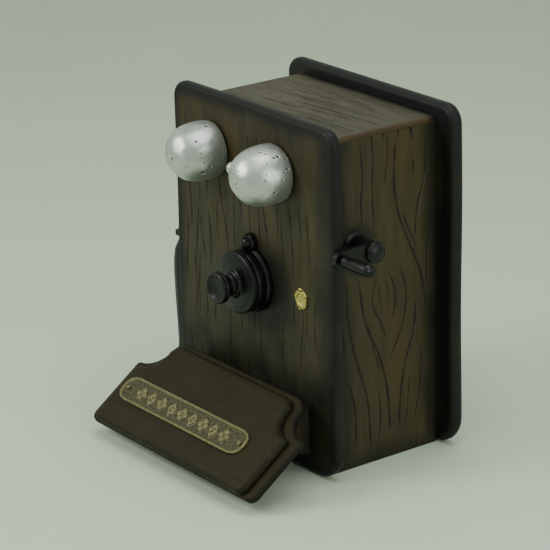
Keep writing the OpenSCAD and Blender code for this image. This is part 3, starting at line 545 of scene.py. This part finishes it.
def slab(name, outline, place, top, bottom, step=6.0, insets=(0.3, 0.8, 1.5, 2.4, 3.6, 5.2), relief=None):
    """A slab from an outline in (u, v). top(d) and bottom(d) give the heights of its two faces
    at the distance d from the outline, and relief(u, v, d) gives (height, darkness) on top."""
    loop = []
    for a, b in zip(outline, outline[1:] + outline[:1]):
        a, b = Vector(a), Vector(b)
        n = max(1, int((b - a).length / min(1.6, step)))
        loop += [a.lerp(b, i / n) for i in range(n)]
    P = np.array([tuple(p) for p in loop])
    Q = np.roll(P, -1, axis=0)
    area = np.sum(P[:, 0] * Q[:, 1] - Q[:, 0] * P[:, 1])
    along = Q - np.roll(P, 1, axis=0)
    normal = np.stack([-along[:, 1], along[:, 0]], 1) * np.sign(area)
    normal /= np.linalg.norm(normal, axis=1)[:, None]

    def distance(points):
        best = np.full(len(points), 1e9)
        for a, b in zip(P, Q):
            d = b - a
            t = np.clip((points - a) @ d / max(d @ d, 1e-9), 0, 1)
            best = np.minimum(best, np.hypot(*(points - a - t[:, None] * d).T))
        return best

    inside = []
    for d in insets:
        ring = P + normal * d
        inside.append(ring[distance(ring) > d * 0.96])
    lo, hi = P.min(0), P.max(0)
    gu, gv = np.meshgrid(spread(lo[0], hi[0], step), spread(lo[1], hi[1], step))
    grid = np.stack([gu.ravel(), gv.ravel()], 1)
    winding = np.zeros(len(grid))
    for a, b in zip(P, Q):
        crosses = (a[1] > grid[:, 1]) != (b[1] > grid[:, 1])
        x = a[0] + (grid[:, 1] - a[1]) * (b[0] - a[0]) / (b[1] - a[1] if b[1] != a[1] else 1e-9)
        winding += crosses & (grid[:, 0] < x)
    grid = grid[(winding % 2) == 1]
    inside.append(grid[distance(grid) > max(insets) + step * 0.4])
    points = np.concatenate([P] + inside)
    n = len(P)
    edges = [(i, (i + 1) % n) for i in range(n)]
    flat = geometry.delaunay_2d_cdt([Vector(p) for p in points], edges, [], 1, 1e-5)
    uv = np.array([tuple(v) for v in flat[0]])
    d = distance(uv)
    up, dark = (relief(uv[:, 0], uv[:, 1], d) if relief else (0 * d, 0 * d))
    k = len(uv)
    verts = [place(u, v, h) for (u, v), h in zip(uv, top(d) + up)]
    verts += [place(u, v, h) for (u, v), h in zip(uv, bottom(d))]
    faces = [tuple(f) for f in flat[2]] + [tuple(k + i for i in reversed(f)) for f in flat[2]]
    base = len(verts)
    t0, b0 = float(top(np.zeros(1))[0]), float(bottom(np.zeros(1))[0])
    verts += [place(u, v, t0) for u, v in P] + [place(u, v, b0) for u, v in P]
    faces += [(base + i, base + (i + 1) % n, base + n + (i + 1) % n, base + n + i) for i in range(n)]
    extra = [0.0] * (len(verts) - 2 * k)
    # painted shade: darker towards the edge on top, darkest on the underside, dark on the edge walls
    layers = {"cut": list(dark) + [0.0] * k + extra,
              "wash_and_shade": list(np.clip(1 - d / 5, 0, 1) * 0.6) + [1.0] * k + [0.7] * len(extra),
              "warm": [0.0] * len(verts)}
    return layered_mesh(name, verts, faces, layers, 2e-6)


def quarter(height, r):
    """The top of a slab whose edge is rounded with radius r."""
    return lambda d: height - r + np.sqrt(r ** 2 - np.clip(r - d, 0, r) ** 2)


def flat_back(d):
    return 0 * d


# ---------- cabinet ----------

CASE_W, CASE_H = high("case_top")[0], high("case_top")[2]
FRONT = low("case_top")[1]
CASE_BACK = high("case_top")[1]
DOOR = low("door_panel")
DOOR_TOP = high("door_panel")
TRANSMITTER_Z = (low("transmitter_cup")[2] + high("transmitter_cup")[2]) / 2
CRANK = tuple((low("crank_shaft")[i] + high("crank_shaft")[i]) / 2 for i in (1, 2))
BOARD = 12  # thickness of the case boards
CLAPPER_X = -11.5
CLAPPER_SLOT = (289.4, 296.2)  # lower and upper edge of the slot in the door
HOOK_Y = -30
HOOK_SLOT = (164.5, 183.0)  # lower and upper end of the slot in the left side
CORD_INLET = (10, 40)  # y and z of the bushed hole in the left side


def build_door():
    w, z0, z1 = DOOR_TOP[0], DOOR[2], DOOR_TOP[2]
    face, thick = DOOR[1], DOOR_TOP[1] - DOOR[1]

    def hidden(u, a, b):
        bells = b > 272 and a < 325 and abs(u - CLAPPER_X) < 78
        cup = math.hypot(u, (a + b) / 2 - TRANSMITTER_Z) < 26
        return bells and b - a < 30 or cup

    lines = grain(11, 17, (-112, 96), (176, 276), (46, 96), 0.10, (0.5, 0.85), (0.6, 1.0), 8.0, hidden)
    lines += grain(12, 17, (-112, 108), (86, 186), (34, 90), -0.07, (0.5, 0.85), (0.6, 1.0), 8.5, hidden)
    lines += grain(13, 9, (-60, 70), (306, 346), (12, 26), 0.0, (0.35, 0.6), (0.3, 0.6), 9.0)
    lines += grain(14, 9, (-114, 114), (12, 92), (30, 70), 0.04, gap=12.0)
    lines += grain(15, 4, (-114, -90), (150, 330), (60, 120), 0.03, gap=8.0)

    # dark wash with painted shade on the door: darker at the rim, the top, the right edge and towards the
    # bottom, with a painted shadow round the transmitter
    def wash_and_shade(X, V, margin):
        rim = 1 - smoothstep(3, 26, margin)
        # painted shadow of the transmitter, falling to its right, over the dark wash round it
        transmitter_wash_and_shadow = 1 - smoothstep(30, 66, np.hypot((X - 14) * 0.92, V - TRANSMITTER_Z + 6))
        foot = 1 - smoothstep(70, 165, V)
        head = 0.35 * smoothstep(270, 340, V)
        right = 0.75 * smoothstep(86, 118, X)
        spots = 0.18 * cloudy(X, V, 17, 0.6)
        return np.clip(np.maximum.reduce([rim, 0.85 * transmitter_wash_and_shadow, 0.72 * foot, head, right]) + spots, 0, 1)

    def warm(X, V, margin):
        return np.clip(0.35 * smoothstep(230, 330, V) + 0.4 * cloudy(X * 2.4, V * 0.5, 26, 1.4), 0, 1)

    under = [(0, 2.2 - thick), (0.7, 0.7 - thick), (2.2, -thick)]
    door = carved_board("door_board", w, z0, z1, lambda u, v, h: (u, face - h, v), under, (30, 18), 5.0,
                        lines, wash_and_shade, warm, (0.85, 3.0), wobble=(0.6, 0.5))
    slot_z = sum(CLAPPER_SLOT) / 2
    cut_holes(door, [bar_tool((CLAPPER_X, face + thick / 2, slot_z), (16, thick, 3.4))])
    dress(door, "door", FRONT_WOOD, "cabinet_wood", "door_panel")


# Cut lines of the right side as (y, z) points: long grain that parts round a knot.
SIDE_LINES = [
    ([(-29, 335), (-26, 297), (-28, 272), (-27, 244)], 0.7),
    ([(-15, 342), (-13, 318), (-14, 282), (-12, 241)], 0.65), ([(5, 336), (5, 313), (1, 286)], 0.6),
    ([(15, 328), (14, 276), (20, 248), (32, 220), (47, 185), (54, 148)], 0.95),
    ([(33, 342), (37, 322)], 1.1), ([(53, 323), (52, 289), (43, 258), (39, 224)], 0.8),
    ([(23, 254), (32, 232), (42, 212)], 0.7), ([(61, 234), (55, 208), (54, 172)], 0.8),
    ([(6, 196), (13, 176), (14, 161), (8, 142)], 0.8), ([(-3, 187), (-6, 174), (-3, 158)], 0.5),
    ([(2, 186), (6, 173), (3, 158)], 0.45),
    ([(-47, 198), (-46, 163), (-37, 116), (-23, 71), (-18, 14)], 0.8),
    ([(-32, 195), (-23, 146), (-6, 108), (4, 66), (6, 28)], 0.95),
    ([(-11, 193), (-14, 164), (-6, 147), (2, 127)], 0.7),
    ([(20, 202), (28, 166), (23, 137), (3, 98)], 0.65),
    ([(40, 159), (38, 132), (26, 94), (20, 62), (18, 30)], 0.85),
    ([(47, 110), (46, 70), (38, 32)], 0.7), ([(-47, 96), (-38, 62), (-37, 20)], 0.7),
    ([(-49, 292), (-49, 258)], 0.6), ([(37, 304), (38, 291)], 0.9), ([(-2, 342), (1, 331)], 0.9),
    ([(17, 342), (19, 330)], 0.8), ([(-22, 150), (-13, 118), (-6, 92)], 0.55),
    ([(-8, 74), (-6, 44), (-9, 16)], 0.55), ([(31, 82), (29, 50), (25, 22)], 0.5),
    ([(-31, 232), (-30, 205)], 0.6), ([(-52, 150), (-50, 110)], 0.5),
]


# dark wash with painted shade on the sides: darker next to the door and the back board, with a painted
# shadow round the crank and painted shade at the foot
def side_wash_and_shade(X, V, margin):
    front = 1 - smoothstep(14, 38, X - FRONT)
    back = smoothstep(40, 62, X)
    # painted shadow of the crank, over the dark wash round it
    crank = 1 - smoothstep(16, 38, np.hypot(X - CRANK[0] - 3, V - CRANK[1] + 8))
    # painted shade where the side meets the floor
    foot = 0.7 * (1 - smoothstep(0, 26, V))
    most = np.maximum.reduce([0.72 * front, 0.8 * back, 0.9 * crank, foot])
    return np.clip(most + 0.14 * cloudy(X, V, 15, 2.1), 0, 1)


def side_warm(X, V, margin):
    arris = 1.5 * smoothstep(334.5, 337, V)
    streak = smoothstep(240, 330, V) * np.exp(-((X - 24) / 22) ** 2)
    low_streak = 0.7 * np.exp(-((X - 12) / 16) ** 2) * (0.5 + 0.5 * np.cos((V - 100) / 55))
    most = np.maximum.reduce([arris, 0.9 * streak, low_streak])
    return np.clip(most + 0.2 * cloudy(X, V, 13, 0.3), 0, 1)


def build_case():
    """Sides, top and bottom, whose arris is rounded over where they meet."""
    mid = (FRONT + CASE_BACK) / 2
    half = (CASE_BACK - FRONT) / 2
    lid = 5.5

    def side_board(name, facing, lines, step):
        return carved_board(name, half, 0, CASE_H - lid, lambda u, v, h: (facing * (CASE_W + h), u + mid, v),
                            [(0, 0.5 - BOARD), (0.5, -BOARD)], (0, 0), 0.9, lines,
                            lambda X, V, m: side_wash_and_shade(X + mid, V, m),
                            lambda X, V, m: side_warm(X + mid, V, m), step)

    lines = [([(y - mid, z) for y, z in points], wide, 1.1) for points, wide in SIDE_LINES]
    right = side_board("side_board_right", 1, lines, (0.6, 2.5))
    cut_holes(right, [rod_tool((CASE_W - BOARD / 2, *CRANK), (1, 0, 0), 7.0, BOARD)])
    dress(right, "cabinet", SIDE_WOOD, "cabinet_wood", "case_right_side")
    lines = grain(31, 34, (-52, 52), (6, 338), (50, 150), 0.02, gap=6.5)
    left = side_board("side_board_left", -1, lines, (0.9, 3.0))
    hook_low, hook_high = HOOK_SLOT
    hook_slot = bar_tool((BOARD / 2 - CASE_W, HOOK_Y, (hook_low + hook_high) / 2),
                         (BOARD, 3.2, (hook_high - hook_low) / 2))
    cord_hole = rod_tool((BOARD / 2 - CASE_W, *CORD_INLET), (1, 0, 0), 5.0, BOARD)
    cut_holes(left, [hook_slot, cord_hole])
    dress(left, "cabinet", SIDE_WOOD, "cabinet_wood", "case_left_side")
    inner = CASE_W - BOARD

    # dark wash with painted shade on the top: darker along the sides and next to the door and the back board
    def top_wash_and_shade(X, V, margin):
        rim = 1 - smoothstep(1, 9, CASE_W - np.abs(X))
        ends = 0.75 * smoothstep(half - 14, half - 2, np.abs(V))
        return np.clip(0.35 * rim + ends + 0.2 * cloudy(X, V, 19, 1.1), 0, 1)

    lines = []
    rng = random.Random(41)
    for k in range(24):
        v = -half + 7 + (2 * half - 14) * k / 23 + rng.uniform(-1.4, 1.4)
        a = rng.uniform(-96, 20)
        b = min(a + rng.uniform(50, 130), 100)
        lines.append((v, a, b, rng.uniform(0.4, 0.75), rng.uniform(0, 6.28)))
    top = flow_top("top_board", half, inner + BOARD, lines, top_wash_and_shade, mid, lid)
    dress(top, "cabinet", TOP_WOOD, "cabinet_wood", "case_top")
    lines = grain(51, 16, (-90, 90), (-60, 60), (30, 90))
    bottom = carved_board("bottom_board", inner - 0.05, -half, half, lambda u, v, h: (u, v + mid, 0.3 - h),
                          [(0, -11), (0.7, -11.7)], (0, 0), 0.6, lines, step=(2.0, 4.0))
    dress(bottom, "cabinet", DARK_WOOD, "cabinet_wood", "case_bottom")


def flow_top(name, half, w, lines, wash_and_shade, mid, lid):
    """The top board, its cut lines running from side to side with a slow wave."""
    long_lines = []
    for v, a, b, width, phase in lines:
        us = spread(a, b, 14.0)
        wave = [v + 2.2 * math.sin(u / 37 + v / 30) + 0.8 * math.sin(u / 13 + phase) for u in us]
        long_lines.append(([(p, u) for p, u in zip(wave, us)], width, 0.8))

    def warm(X, V, margin):
        return 1.3 * (1 - smoothstep(1.5, 5.5, w - np.abs(V)))

    # carved_board cuts its lines along v, so v runs across the cabinet here
    under = [(0, 0.4 - lid), (0.4, -lid), (12.2, -lid), (12.2, -11.9), (12.6, -12)]
    return carved_board(name, half, -w, w, lambda u, v, h: (v, u + mid, CASE_H + h), under, (0, 0), 3.4,
                        long_lines, lambda X, V, m: wash_and_shade(V, X, m), warm, (0.6, 3.0), rim_tone=(0.12, 0.95))


def build_back_board():
    lo, hi = low("back_board"), high("back_board")
    thick = hi[1] - lo[1]
    lines = grain(61, 26, (-126, 126), (8, 348), (60, 160), 0.02, gap=8.0)

    def wash_and_shade(X, V, margin):
        return np.clip(1.1 - 0.5 * smoothstep(6, 30, margin) + 0.15 * cloudy(X, V, 18, 3.0), 0, 1)

    under = [(0, 4 - thick), (1.2, 1.2 - thick), (4, -thick)]
    board = carved_board("wall_board", hi[0], lo[2], hi[2], lambda u, v, h: (u, lo[1] - h, v), under,
                         (30, 18), 6.0, lines, wash_and_shade, None, (1.6, 4.0), wobble=(0.7, 0.0))

    def hole(x, z, r):
        return rod_tool((x, lo[1] + thick / 2, z), (0, 1, 0), r, thick)

    wall_screws = [hole(x, z, 2.75) for x in (-84, 84) for z in (40, 320)]
    wire_hole = hole(0, 321, 4.0)
    cut_holes(board, [*wall_screws, wire_hole])
    dress(board, "cabinet", FRONT_WOOD, "cabinet_wood", "back_board")


# ---------- bells ----------

def egg(r, d, t):
    """Radius and height of a gong outline that swells in front of its rim, for t from 0 to 1."""
    def swell(a):
        return math.copysign(abs(math.sin(a)) ** 0.88, a)
    start = math.radians(-16)
    a = start + (math.pi / 2 - start) * t
    return r * max(0.0, math.cos(a)) ** 0.88, d * (swell(a) - swell(start)) / (1 - swell(start))


def build_gong(name, node, seed, toward):
    """A lumpy cast gong. Its pits gather on the side at the angle toward."""
    lo, hi = low(node), high(node)
    x, z = (lo[0] + hi[0]) / 2, (lo[2] + hi[2]) / 2
    r, rim, pole = (hi[0] - lo[0]) / 2, hi[1], lo[1]
    d, wall, n, steps = rim - pole, 1.8, 96, 240
    rng = random.Random(seed)
    pits = [(toward + rng.gauss(0, 0.55), rng.uniform(0.02, 0.45), rng.uniform(0.6, 1.5)) for _ in range(11)]
    pits += [(rng.uniform(0, 2 * math.pi), rng.uniform(0.1, 0.9), rng.uniform(0.4, 0.8)) for _ in range(7)]
    verts, dark = [], []
    for i in range(steps):
        a = 2 * math.pi * i / steps
        for t in np.linspace(0, 0.994, n + 1):
            rr, hh = egg(r, d, t)
            p = Vector((rr * math.cos(a), -hh, rr * math.sin(a)))
            lump = 0.75 * noise.noise(p * 0.048 + Vector((seed, 0, 0))) + 0.22 * noise.noise(p * 0.13)
            deep = 0.0
            for pa, pt, size in pits:
                across = ((a - pa + math.pi) % (2 * math.pi) - math.pi) * rr
                gap = math.hypot((t - pt) * 74, across) * (1 + 0.5 * noise.noise(p * 0.9))
                if gap < size:
                    deep = max(deep, 1 - gap / size)
            k = 1 + (lump - 0.9 * math.sqrt(deep)) / r
            verts.append((x + p.x * k, rim + p.y * k, z + p.z * k))
            dark.append(min(1.0, deep * 2.2))
    base, m = len(verts), 20

    def outer(i, k):
        return (i % steps) * (n + 1) + k

    def inner(i, k):
        return base + (i % steps) * (m + 1) + k

    faces = [(outer(i, k), outer(i + 1, k), outer(i + 1, k + 1), outer(i, k + 1))
             for i in range(steps) for k in range(n)]
    for i in range(steps):
        a = 2 * math.pi * i / steps
        for k in range(m + 1):
            rr, hh = egg(r - wall, d - wall, k / m * 0.98)
            verts.append((x + rr * math.cos(a), rim - hh, z + rr * math.sin(a)))
            # painted shade: the inside of the gong is a quarter darker
            dark.append(0.25)
    faces += [(inner(i, k), inner(i, k + 1), inner(i + 1, k + 1), inner(i + 1, k))
              for i in range(steps) for k in range(m)]
    faces += [(outer(i, 0), inner(i, 0), inner(i + 1, 0), outer(i + 1, 0)) for i in range(steps)]
    faces += [(outer(i, n), outer(i + 1, n), inner(i + 1, m), inner(i, m)) for i in range(steps)]
    bare = [0.0] * len(verts)
    ob = layered_mesh(name, verts, faces, {"cut": dark, "wash_and_shade": bare, "warm": bare})
    dress(ob, "door", SILVER, "bell_silver", node)


# ---------- transmitter ----------

def build_transmitter():
    z = TRANSMITTER_Z
    ahead = (0, -1, 0)
    cup_back, cup_front = high("transmitter_cup")[1], low("transmitter_cup")[1]
    r = high("transmitter_cup")[0]
    cup = lathe("transmitter_cup_shell", rounded(
        [(6, 0), (r - 0.6, 0), (r - 0.3, 1.8), (r - 0.6, 7.0), (r - 1.5, 8.6), (r - 1.4, 9.8),
         (r, 11), (r, 13), (r - 3, 13), (r - 3, 2), (6, 2), (6, 0)], 0.9, 5), (0, cup_back, z), ahead, 144)
    dress(cup, "door", BLACK, "black_enamel", "transmitter_cup")
    face = lathe("transmitter_face_plate", rounded(
        [(5.5, 1.4), (11.5, 0), (r, 0), (r + 0.1, 1.3), (r - 1.2, 2.5), (r - 3.6, 3.0), (r - 6, 3.35),
         (24, 3.9), (19, 4.7), (15.2, 5.0), (14.2, 5.6), (13.5, 7.4), (12.2, 8.5), (5.5, 8.5),
         (5.5, 1.4)], 1.0, 5),
        (0, cup_front, z), ahead, 144)
    dress(face, "door", BLACK, "black_enamel", "transmitter_face")
    back, front = high("mouthpiece")[1], low("mouthpiece")[1]
    lip, m = back - front, high("mouthpiece")[0]
    mouth = lathe("mouthpiece_bell", rounded(
        [(0.1, 0), (5.4, 0), (5.4, 4), (11.4, 4.1), (11.8, 5.4), (10.0, 7.2), (10.2, lip - 10.4),
         (12.2, lip - 8.8), (m - 1.6, lip - 8.0), (m - 0.1, lip - 6.9), (m, lip - 5.2), (m - 0.8, lip - 4.3),
         (m - 0.8, lip - 3.6), (m, lip - 2.6), (m - 0.2, lip - 1.0), (m - 1.6, lip - 0.1),
         (13.4, lip - 0.3), (11.4, lip - 1.7), (8.4, lip - 3.2), (4.6, lip - 4.2), (0.1, lip - 4.6)],
        0.7, 4), (0, back, z), ahead, 144)
    dress(mouth, "door", COMPOSITION, "black_composition", "mouthpiece")


# ---------- shelf ----------

def mirrored(right):
    return right + [(-u, v) for u, v in reversed(right)]


def shelf_right(half, rear_w, rear, length):
    """Right half of a shelf outline: small round, hollow scoop, straight side, round corner."""
    k, r = half - rear_w, 9.0
    out = [(rear_w - 1.5, -rear), (rear_w + 0.12 * k, -rear - 1.2), (rear_w + 0.21 * k, -rear - 3.2),
           (rear_w + 0.27 * k, -rear - 6.2)]
    for t in range(13):
        a = math.radians(7.5 * t)
        out.append((half - 0.68 * k * math.cos(a) - 1.5 * math.sin(a), -rear - 9 - 30 * math.sin(a)))
    out += [(half - 0.4, -rear - 41), (half, -rear - 45)]
    for t in range(10):
        a = math.radians(10 * t)
        out.append((half - r + r * math.cos(a), -length + r - r * math.sin(a)))
    return out


def build_shelf():
    tilt = math.radians(36)
    c, s = math.cos(tilt), math.sin(tilt)
    y0, z0 = DOOR[1] - 16.2, high("shelf_board")[2]
    half = high("shelf_board")[0]

    def place(u, v, h):
        return u, y0 + v * c - h * s, z0 + v * s + h * c

    def round_under(d):
        return 2.0 - np.sqrt(2.0 ** 2 - np.clip(2.0 - d, 0, 2.0) ** 2)

    lower = slab("shelf_lower_board", mirrored(shelf_right(half, half - 46, 0, 116.6)),
                 lambda u, v, h: place(u, v, h - 8), quarter(8, 3.0), round_under)
    dress(lower, "door", SHELF_WOOD, "shelf_wood", "shelf_board")

    def cove(d):
        return np.clip(1.6 - d, 0, 1.6) * 0.8

    upper = slab("shelf_upper_board", mirrored(shelf_right(half - 11, half - 52, 7, 116.5)), place,
                 quarter(8.5, 6.0), cove)
    dress(upper, "door", SHELF_WOOD, "shelf_wood", "shelf_top")
    plate_x, plate_v, lift = -13.0, -73.0, 8.5

    def on_plate(u, v, h):
        return place(u + plate_x, v + plate_v, h + lift)

    hu, hv = 103.0, 14.5
    right = [(hu - 13, hv), (hu - 6, hv - 2.2), (hu - 1.6, hv - 6.2), (hu, hv - 10.5), (hu, 10.5 - hv),
             (hu - 1.6, 6.2 - hv), (hu - 6, 2.2 - hv), (hu - 13, -hv)]

    def relief(u, v, d):
        """Raised rim and a row of plain lozenges and four-petal flowers over a dark ground, with painted
        shade on the flanks of the steps.
        """
        rim = smoothstep(2.8, 2.2, d)
        pitch = 17.6
        cell = (u + 4.5 * pitch) / pitch
        k = np.floor(cell)
        q = (cell - k - 0.5) * pitch
        band = np.abs(v)
        lozenge = np.abs(q) / 6.2 + band / 8.0
        ring = smoothstep(1.06, 0.98, lozenge) * smoothstep(0.42, 0.52, lozenge)
        boss = smoothstep(0.24, 0.16, lozenge)
        rho, turn = np.hypot(q, v), np.arctan2(v, q)
        petal = 2.2 + 5.6 * np.abs(np.cos(2 * turn)) ** 0.6
        flower = smoothstep(petal + 0.35, petal - 0.35, rho) * smoothstep(1.5, 2.1, rho)
        flower = np.maximum(flower, smoothstep(1.1, 0.6, rho))
        shape = np.where(k % 2 == 0, flower, np.maximum(ring, boss))
        shape = shape * (np.abs(u) < 4.5 * pitch)
        step_in = np.clip(shape + rim, 0, 1)
        wear = np.array([noise.noise(Vector((a * 0.33, b * 0.33, 1.0))) for a, b in zip(u, v)])
        height = -1.65 * (1 - step_in) + 0.22 * wear
        # painted shade on the flanks where the raised shapes step down to the ground
        step_shade = smoothstep(0.02, 0.3, step_in) * (1 - smoothstep(0.5, 0.95, step_in))
        ground = (1 - step_in) * (0.75 + 0.25 * smoothstep(-0.1, 0.3, wear))
        return height, np.clip(1.2 * step_shade + 0.8 * ground, 0, 1)

    plate = slab("shelf_ornament_plate", mirrored(right), on_plate, quarter(2.6, 0.9), flat_back,
                 0.75, (0.25, 0.6, 1.0, 1.5), relief)
    dress(plate, "door", BRONZE, "bronze", "nameplate")


def build_escutcheon():
    lo, hi = low("lock_escutcheon"), high("lock_escutcheon")
    x, z, face = (lo[0] + hi[0]) / 2, (lo[2] + hi[2]) / 2, hi[1]
    a, b = (hi[0] - lo[0]) / 2 - 0.2, (hi[2] - lo[2]) / 2 - 0.2
    outline = []
    for i in range(64):
        t = 2 * math.pi * i / 64
        k = 1 - 0.05 * math.cos(5 * t + 0.6) - 0.03 * math.cos(9 * t)
        outline.append((a * k * math.cos(t), b * k * math.sin(t)))

    def relief(u, v, d):
        coarse = [noise.noise(Vector((p * 0.42, q * 0.42, 3.0))) for p, q in zip(u, v)]
        fine = [noise.noise(Vector((p * 0.95, q * 0.95, 7.0))) for p, q in zip(u, v)]
        lump = np.array(coarse) + 0.6 * np.array(fine)
        bowl = smoothstep(6.2, 4.6, np.hypot(u, v))
        return (lump * 1.5) * (1 - bowl) - 1.4 * bowl, np.clip(-lump * 2.6 - 0.25, 0, 1) * (1 - bowl)

    plate = slab("keyhole_plate", outline, lambda u, v, h: (x + u, face - h, z + v),
                 quarter(2.0, 1.0), flat_back, 0.55, (0.2, 0.5, 0.9), relief)
    dress(plate, "door", GILT, "gilt", "lock_escutcheon")
    node = frame["nodes"]["lock_cylinder"]
    node.data.materials.clear()
    node.data.materials.append(GILT)


build_door()
build_case()
build_back_board()
build_gong("bell_left", "gong_left", 5, 0.1)
build_gong("bell_right", "gong_right", 9, 0.9)
build_transmitter()
build_shelf()
build_escutcheon()


# ---------- stage, light and camera ----------

def build_stage():
    """A flat pale floor, wide enough to fill every view."""
    verts, faces = [(0, 0, 0)], []
    radii, steps = (700, 1600, 4000, 14000), 64
    for r in radii:
        verts += [(r * math.cos(2 * math.pi * i / steps), r * math.sin(2 * math.pi * i / steps), 0)
                  for i in range(steps)]
    faces += [(0, 1 + i, 1 + (i + 1) % steps) for i in range(steps)]
    for k in range(len(radii) - 1):
        a, b = 1 + k * steps, 1 + (k + 1) * steps
        faces += [(a + i, b + i, b + (i + 1) % steps, a + (i + 1) % steps) for i in range(steps)]
    floor = mesh_object("stage_floor", verts, faces)
    m = Nodes("stage_paper")
    m.set("Base Color", m.ramp(m.noise(3, 2), [(0.3, (0.530, 0.610, 0.485)), (0.7, (0.555, 0.635, 0.510))]))
    m.set("Roughness", m.remap(m.noise(40, 3), 0.3, 0.7, 0.62, 0.7))
    m.set("Specular IOR Level", 0.2)
    floor.data.materials.append(m.mat)


def area_light(name, place, target, size, energy, colour=(1, 1, 1)):
    data = bpy.data.lights.new(name, "AREA")
    data.shape = "RECTANGLE"
    data.size, data.size_y = size
    data.energy = energy
    data.color = colour
    ob = bpy.data.objects.new(name, data)
    ob.location = place
    ob.rotation_euler = (Vector(target) - Vector(place)).to_track_quat("-Z", "Y").to_euler()
    bpy.context.scene.collection.objects.link(ob)


def build_light():
    world = bpy.data.worlds.new("world")
    world.use_nodes = True
    world.node_tree.nodes["Background"].inputs[0].default_value = (0.80, 0.89, 0.775, 1)
    world.node_tree.nodes["Background"].inputs[1].default_value = 0.74
    bpy.context.scene.world = world
    area_light("key", (-0.55, -1.35, 1.15), (0, -0.05, 0.2), (0.7, 0.7), 15, (1.0, 0.99, 0.97))
    area_light("top", (0.25, 0.0, 1.6), (0, 0, 0.2), (1.2, 1.2), 12, (0.97, 1.0, 0.98))
    area_light("right", (1.7, 0.1, 0.7), (0, 0, 0.18), (0.8, 1.0), 9, (0.97, 1.0, 0.99))


def build_camera():
    """A long lens at the height and side the set was looked at from."""
    azimuth, elevation, roll = (math.radians(a) for a in (53.369, 19.444, -1.231))
    lens, distance = 174.0436, 2659.02
    target = Vector((0, 24, 260))
    target_right, target_up = 59.6954, 95.2647  # how far the target stands from the middle of the view
    ahead = Vector((-math.sin(azimuth) * math.cos(elevation), math.cos(azimuth) * math.cos(elevation),
                    -math.sin(elevation)))
    right = Vector((math.cos(azimuth), math.sin(azimuth), 0))
    up = right.cross(ahead)
    r = right * math.cos(roll) + up * math.sin(roll)
    u = up * math.cos(roll) - right * math.sin(roll)
    at = target - ahead * distance - r * target_right - u * target_up
    data = bpy.data.cameras.new("camera")
    data.lens = lens
    data.clip_end = 50
    ob = bpy.data.objects.new("camera", data)
    back = -ahead
    ob.matrix_world = Matrix(((r.x, u.x, back.x, at.x * MM), (r.y, u.y, back.y, at.y * MM),
                              (r.z, u.z, back.z, at.z * MM), (0, 0, 0, 1)))
    bpy.context.scene.collection.objects.link(ob)
    bpy.context.scene.camera = ob


build_stage()
build_light()
build_camera()
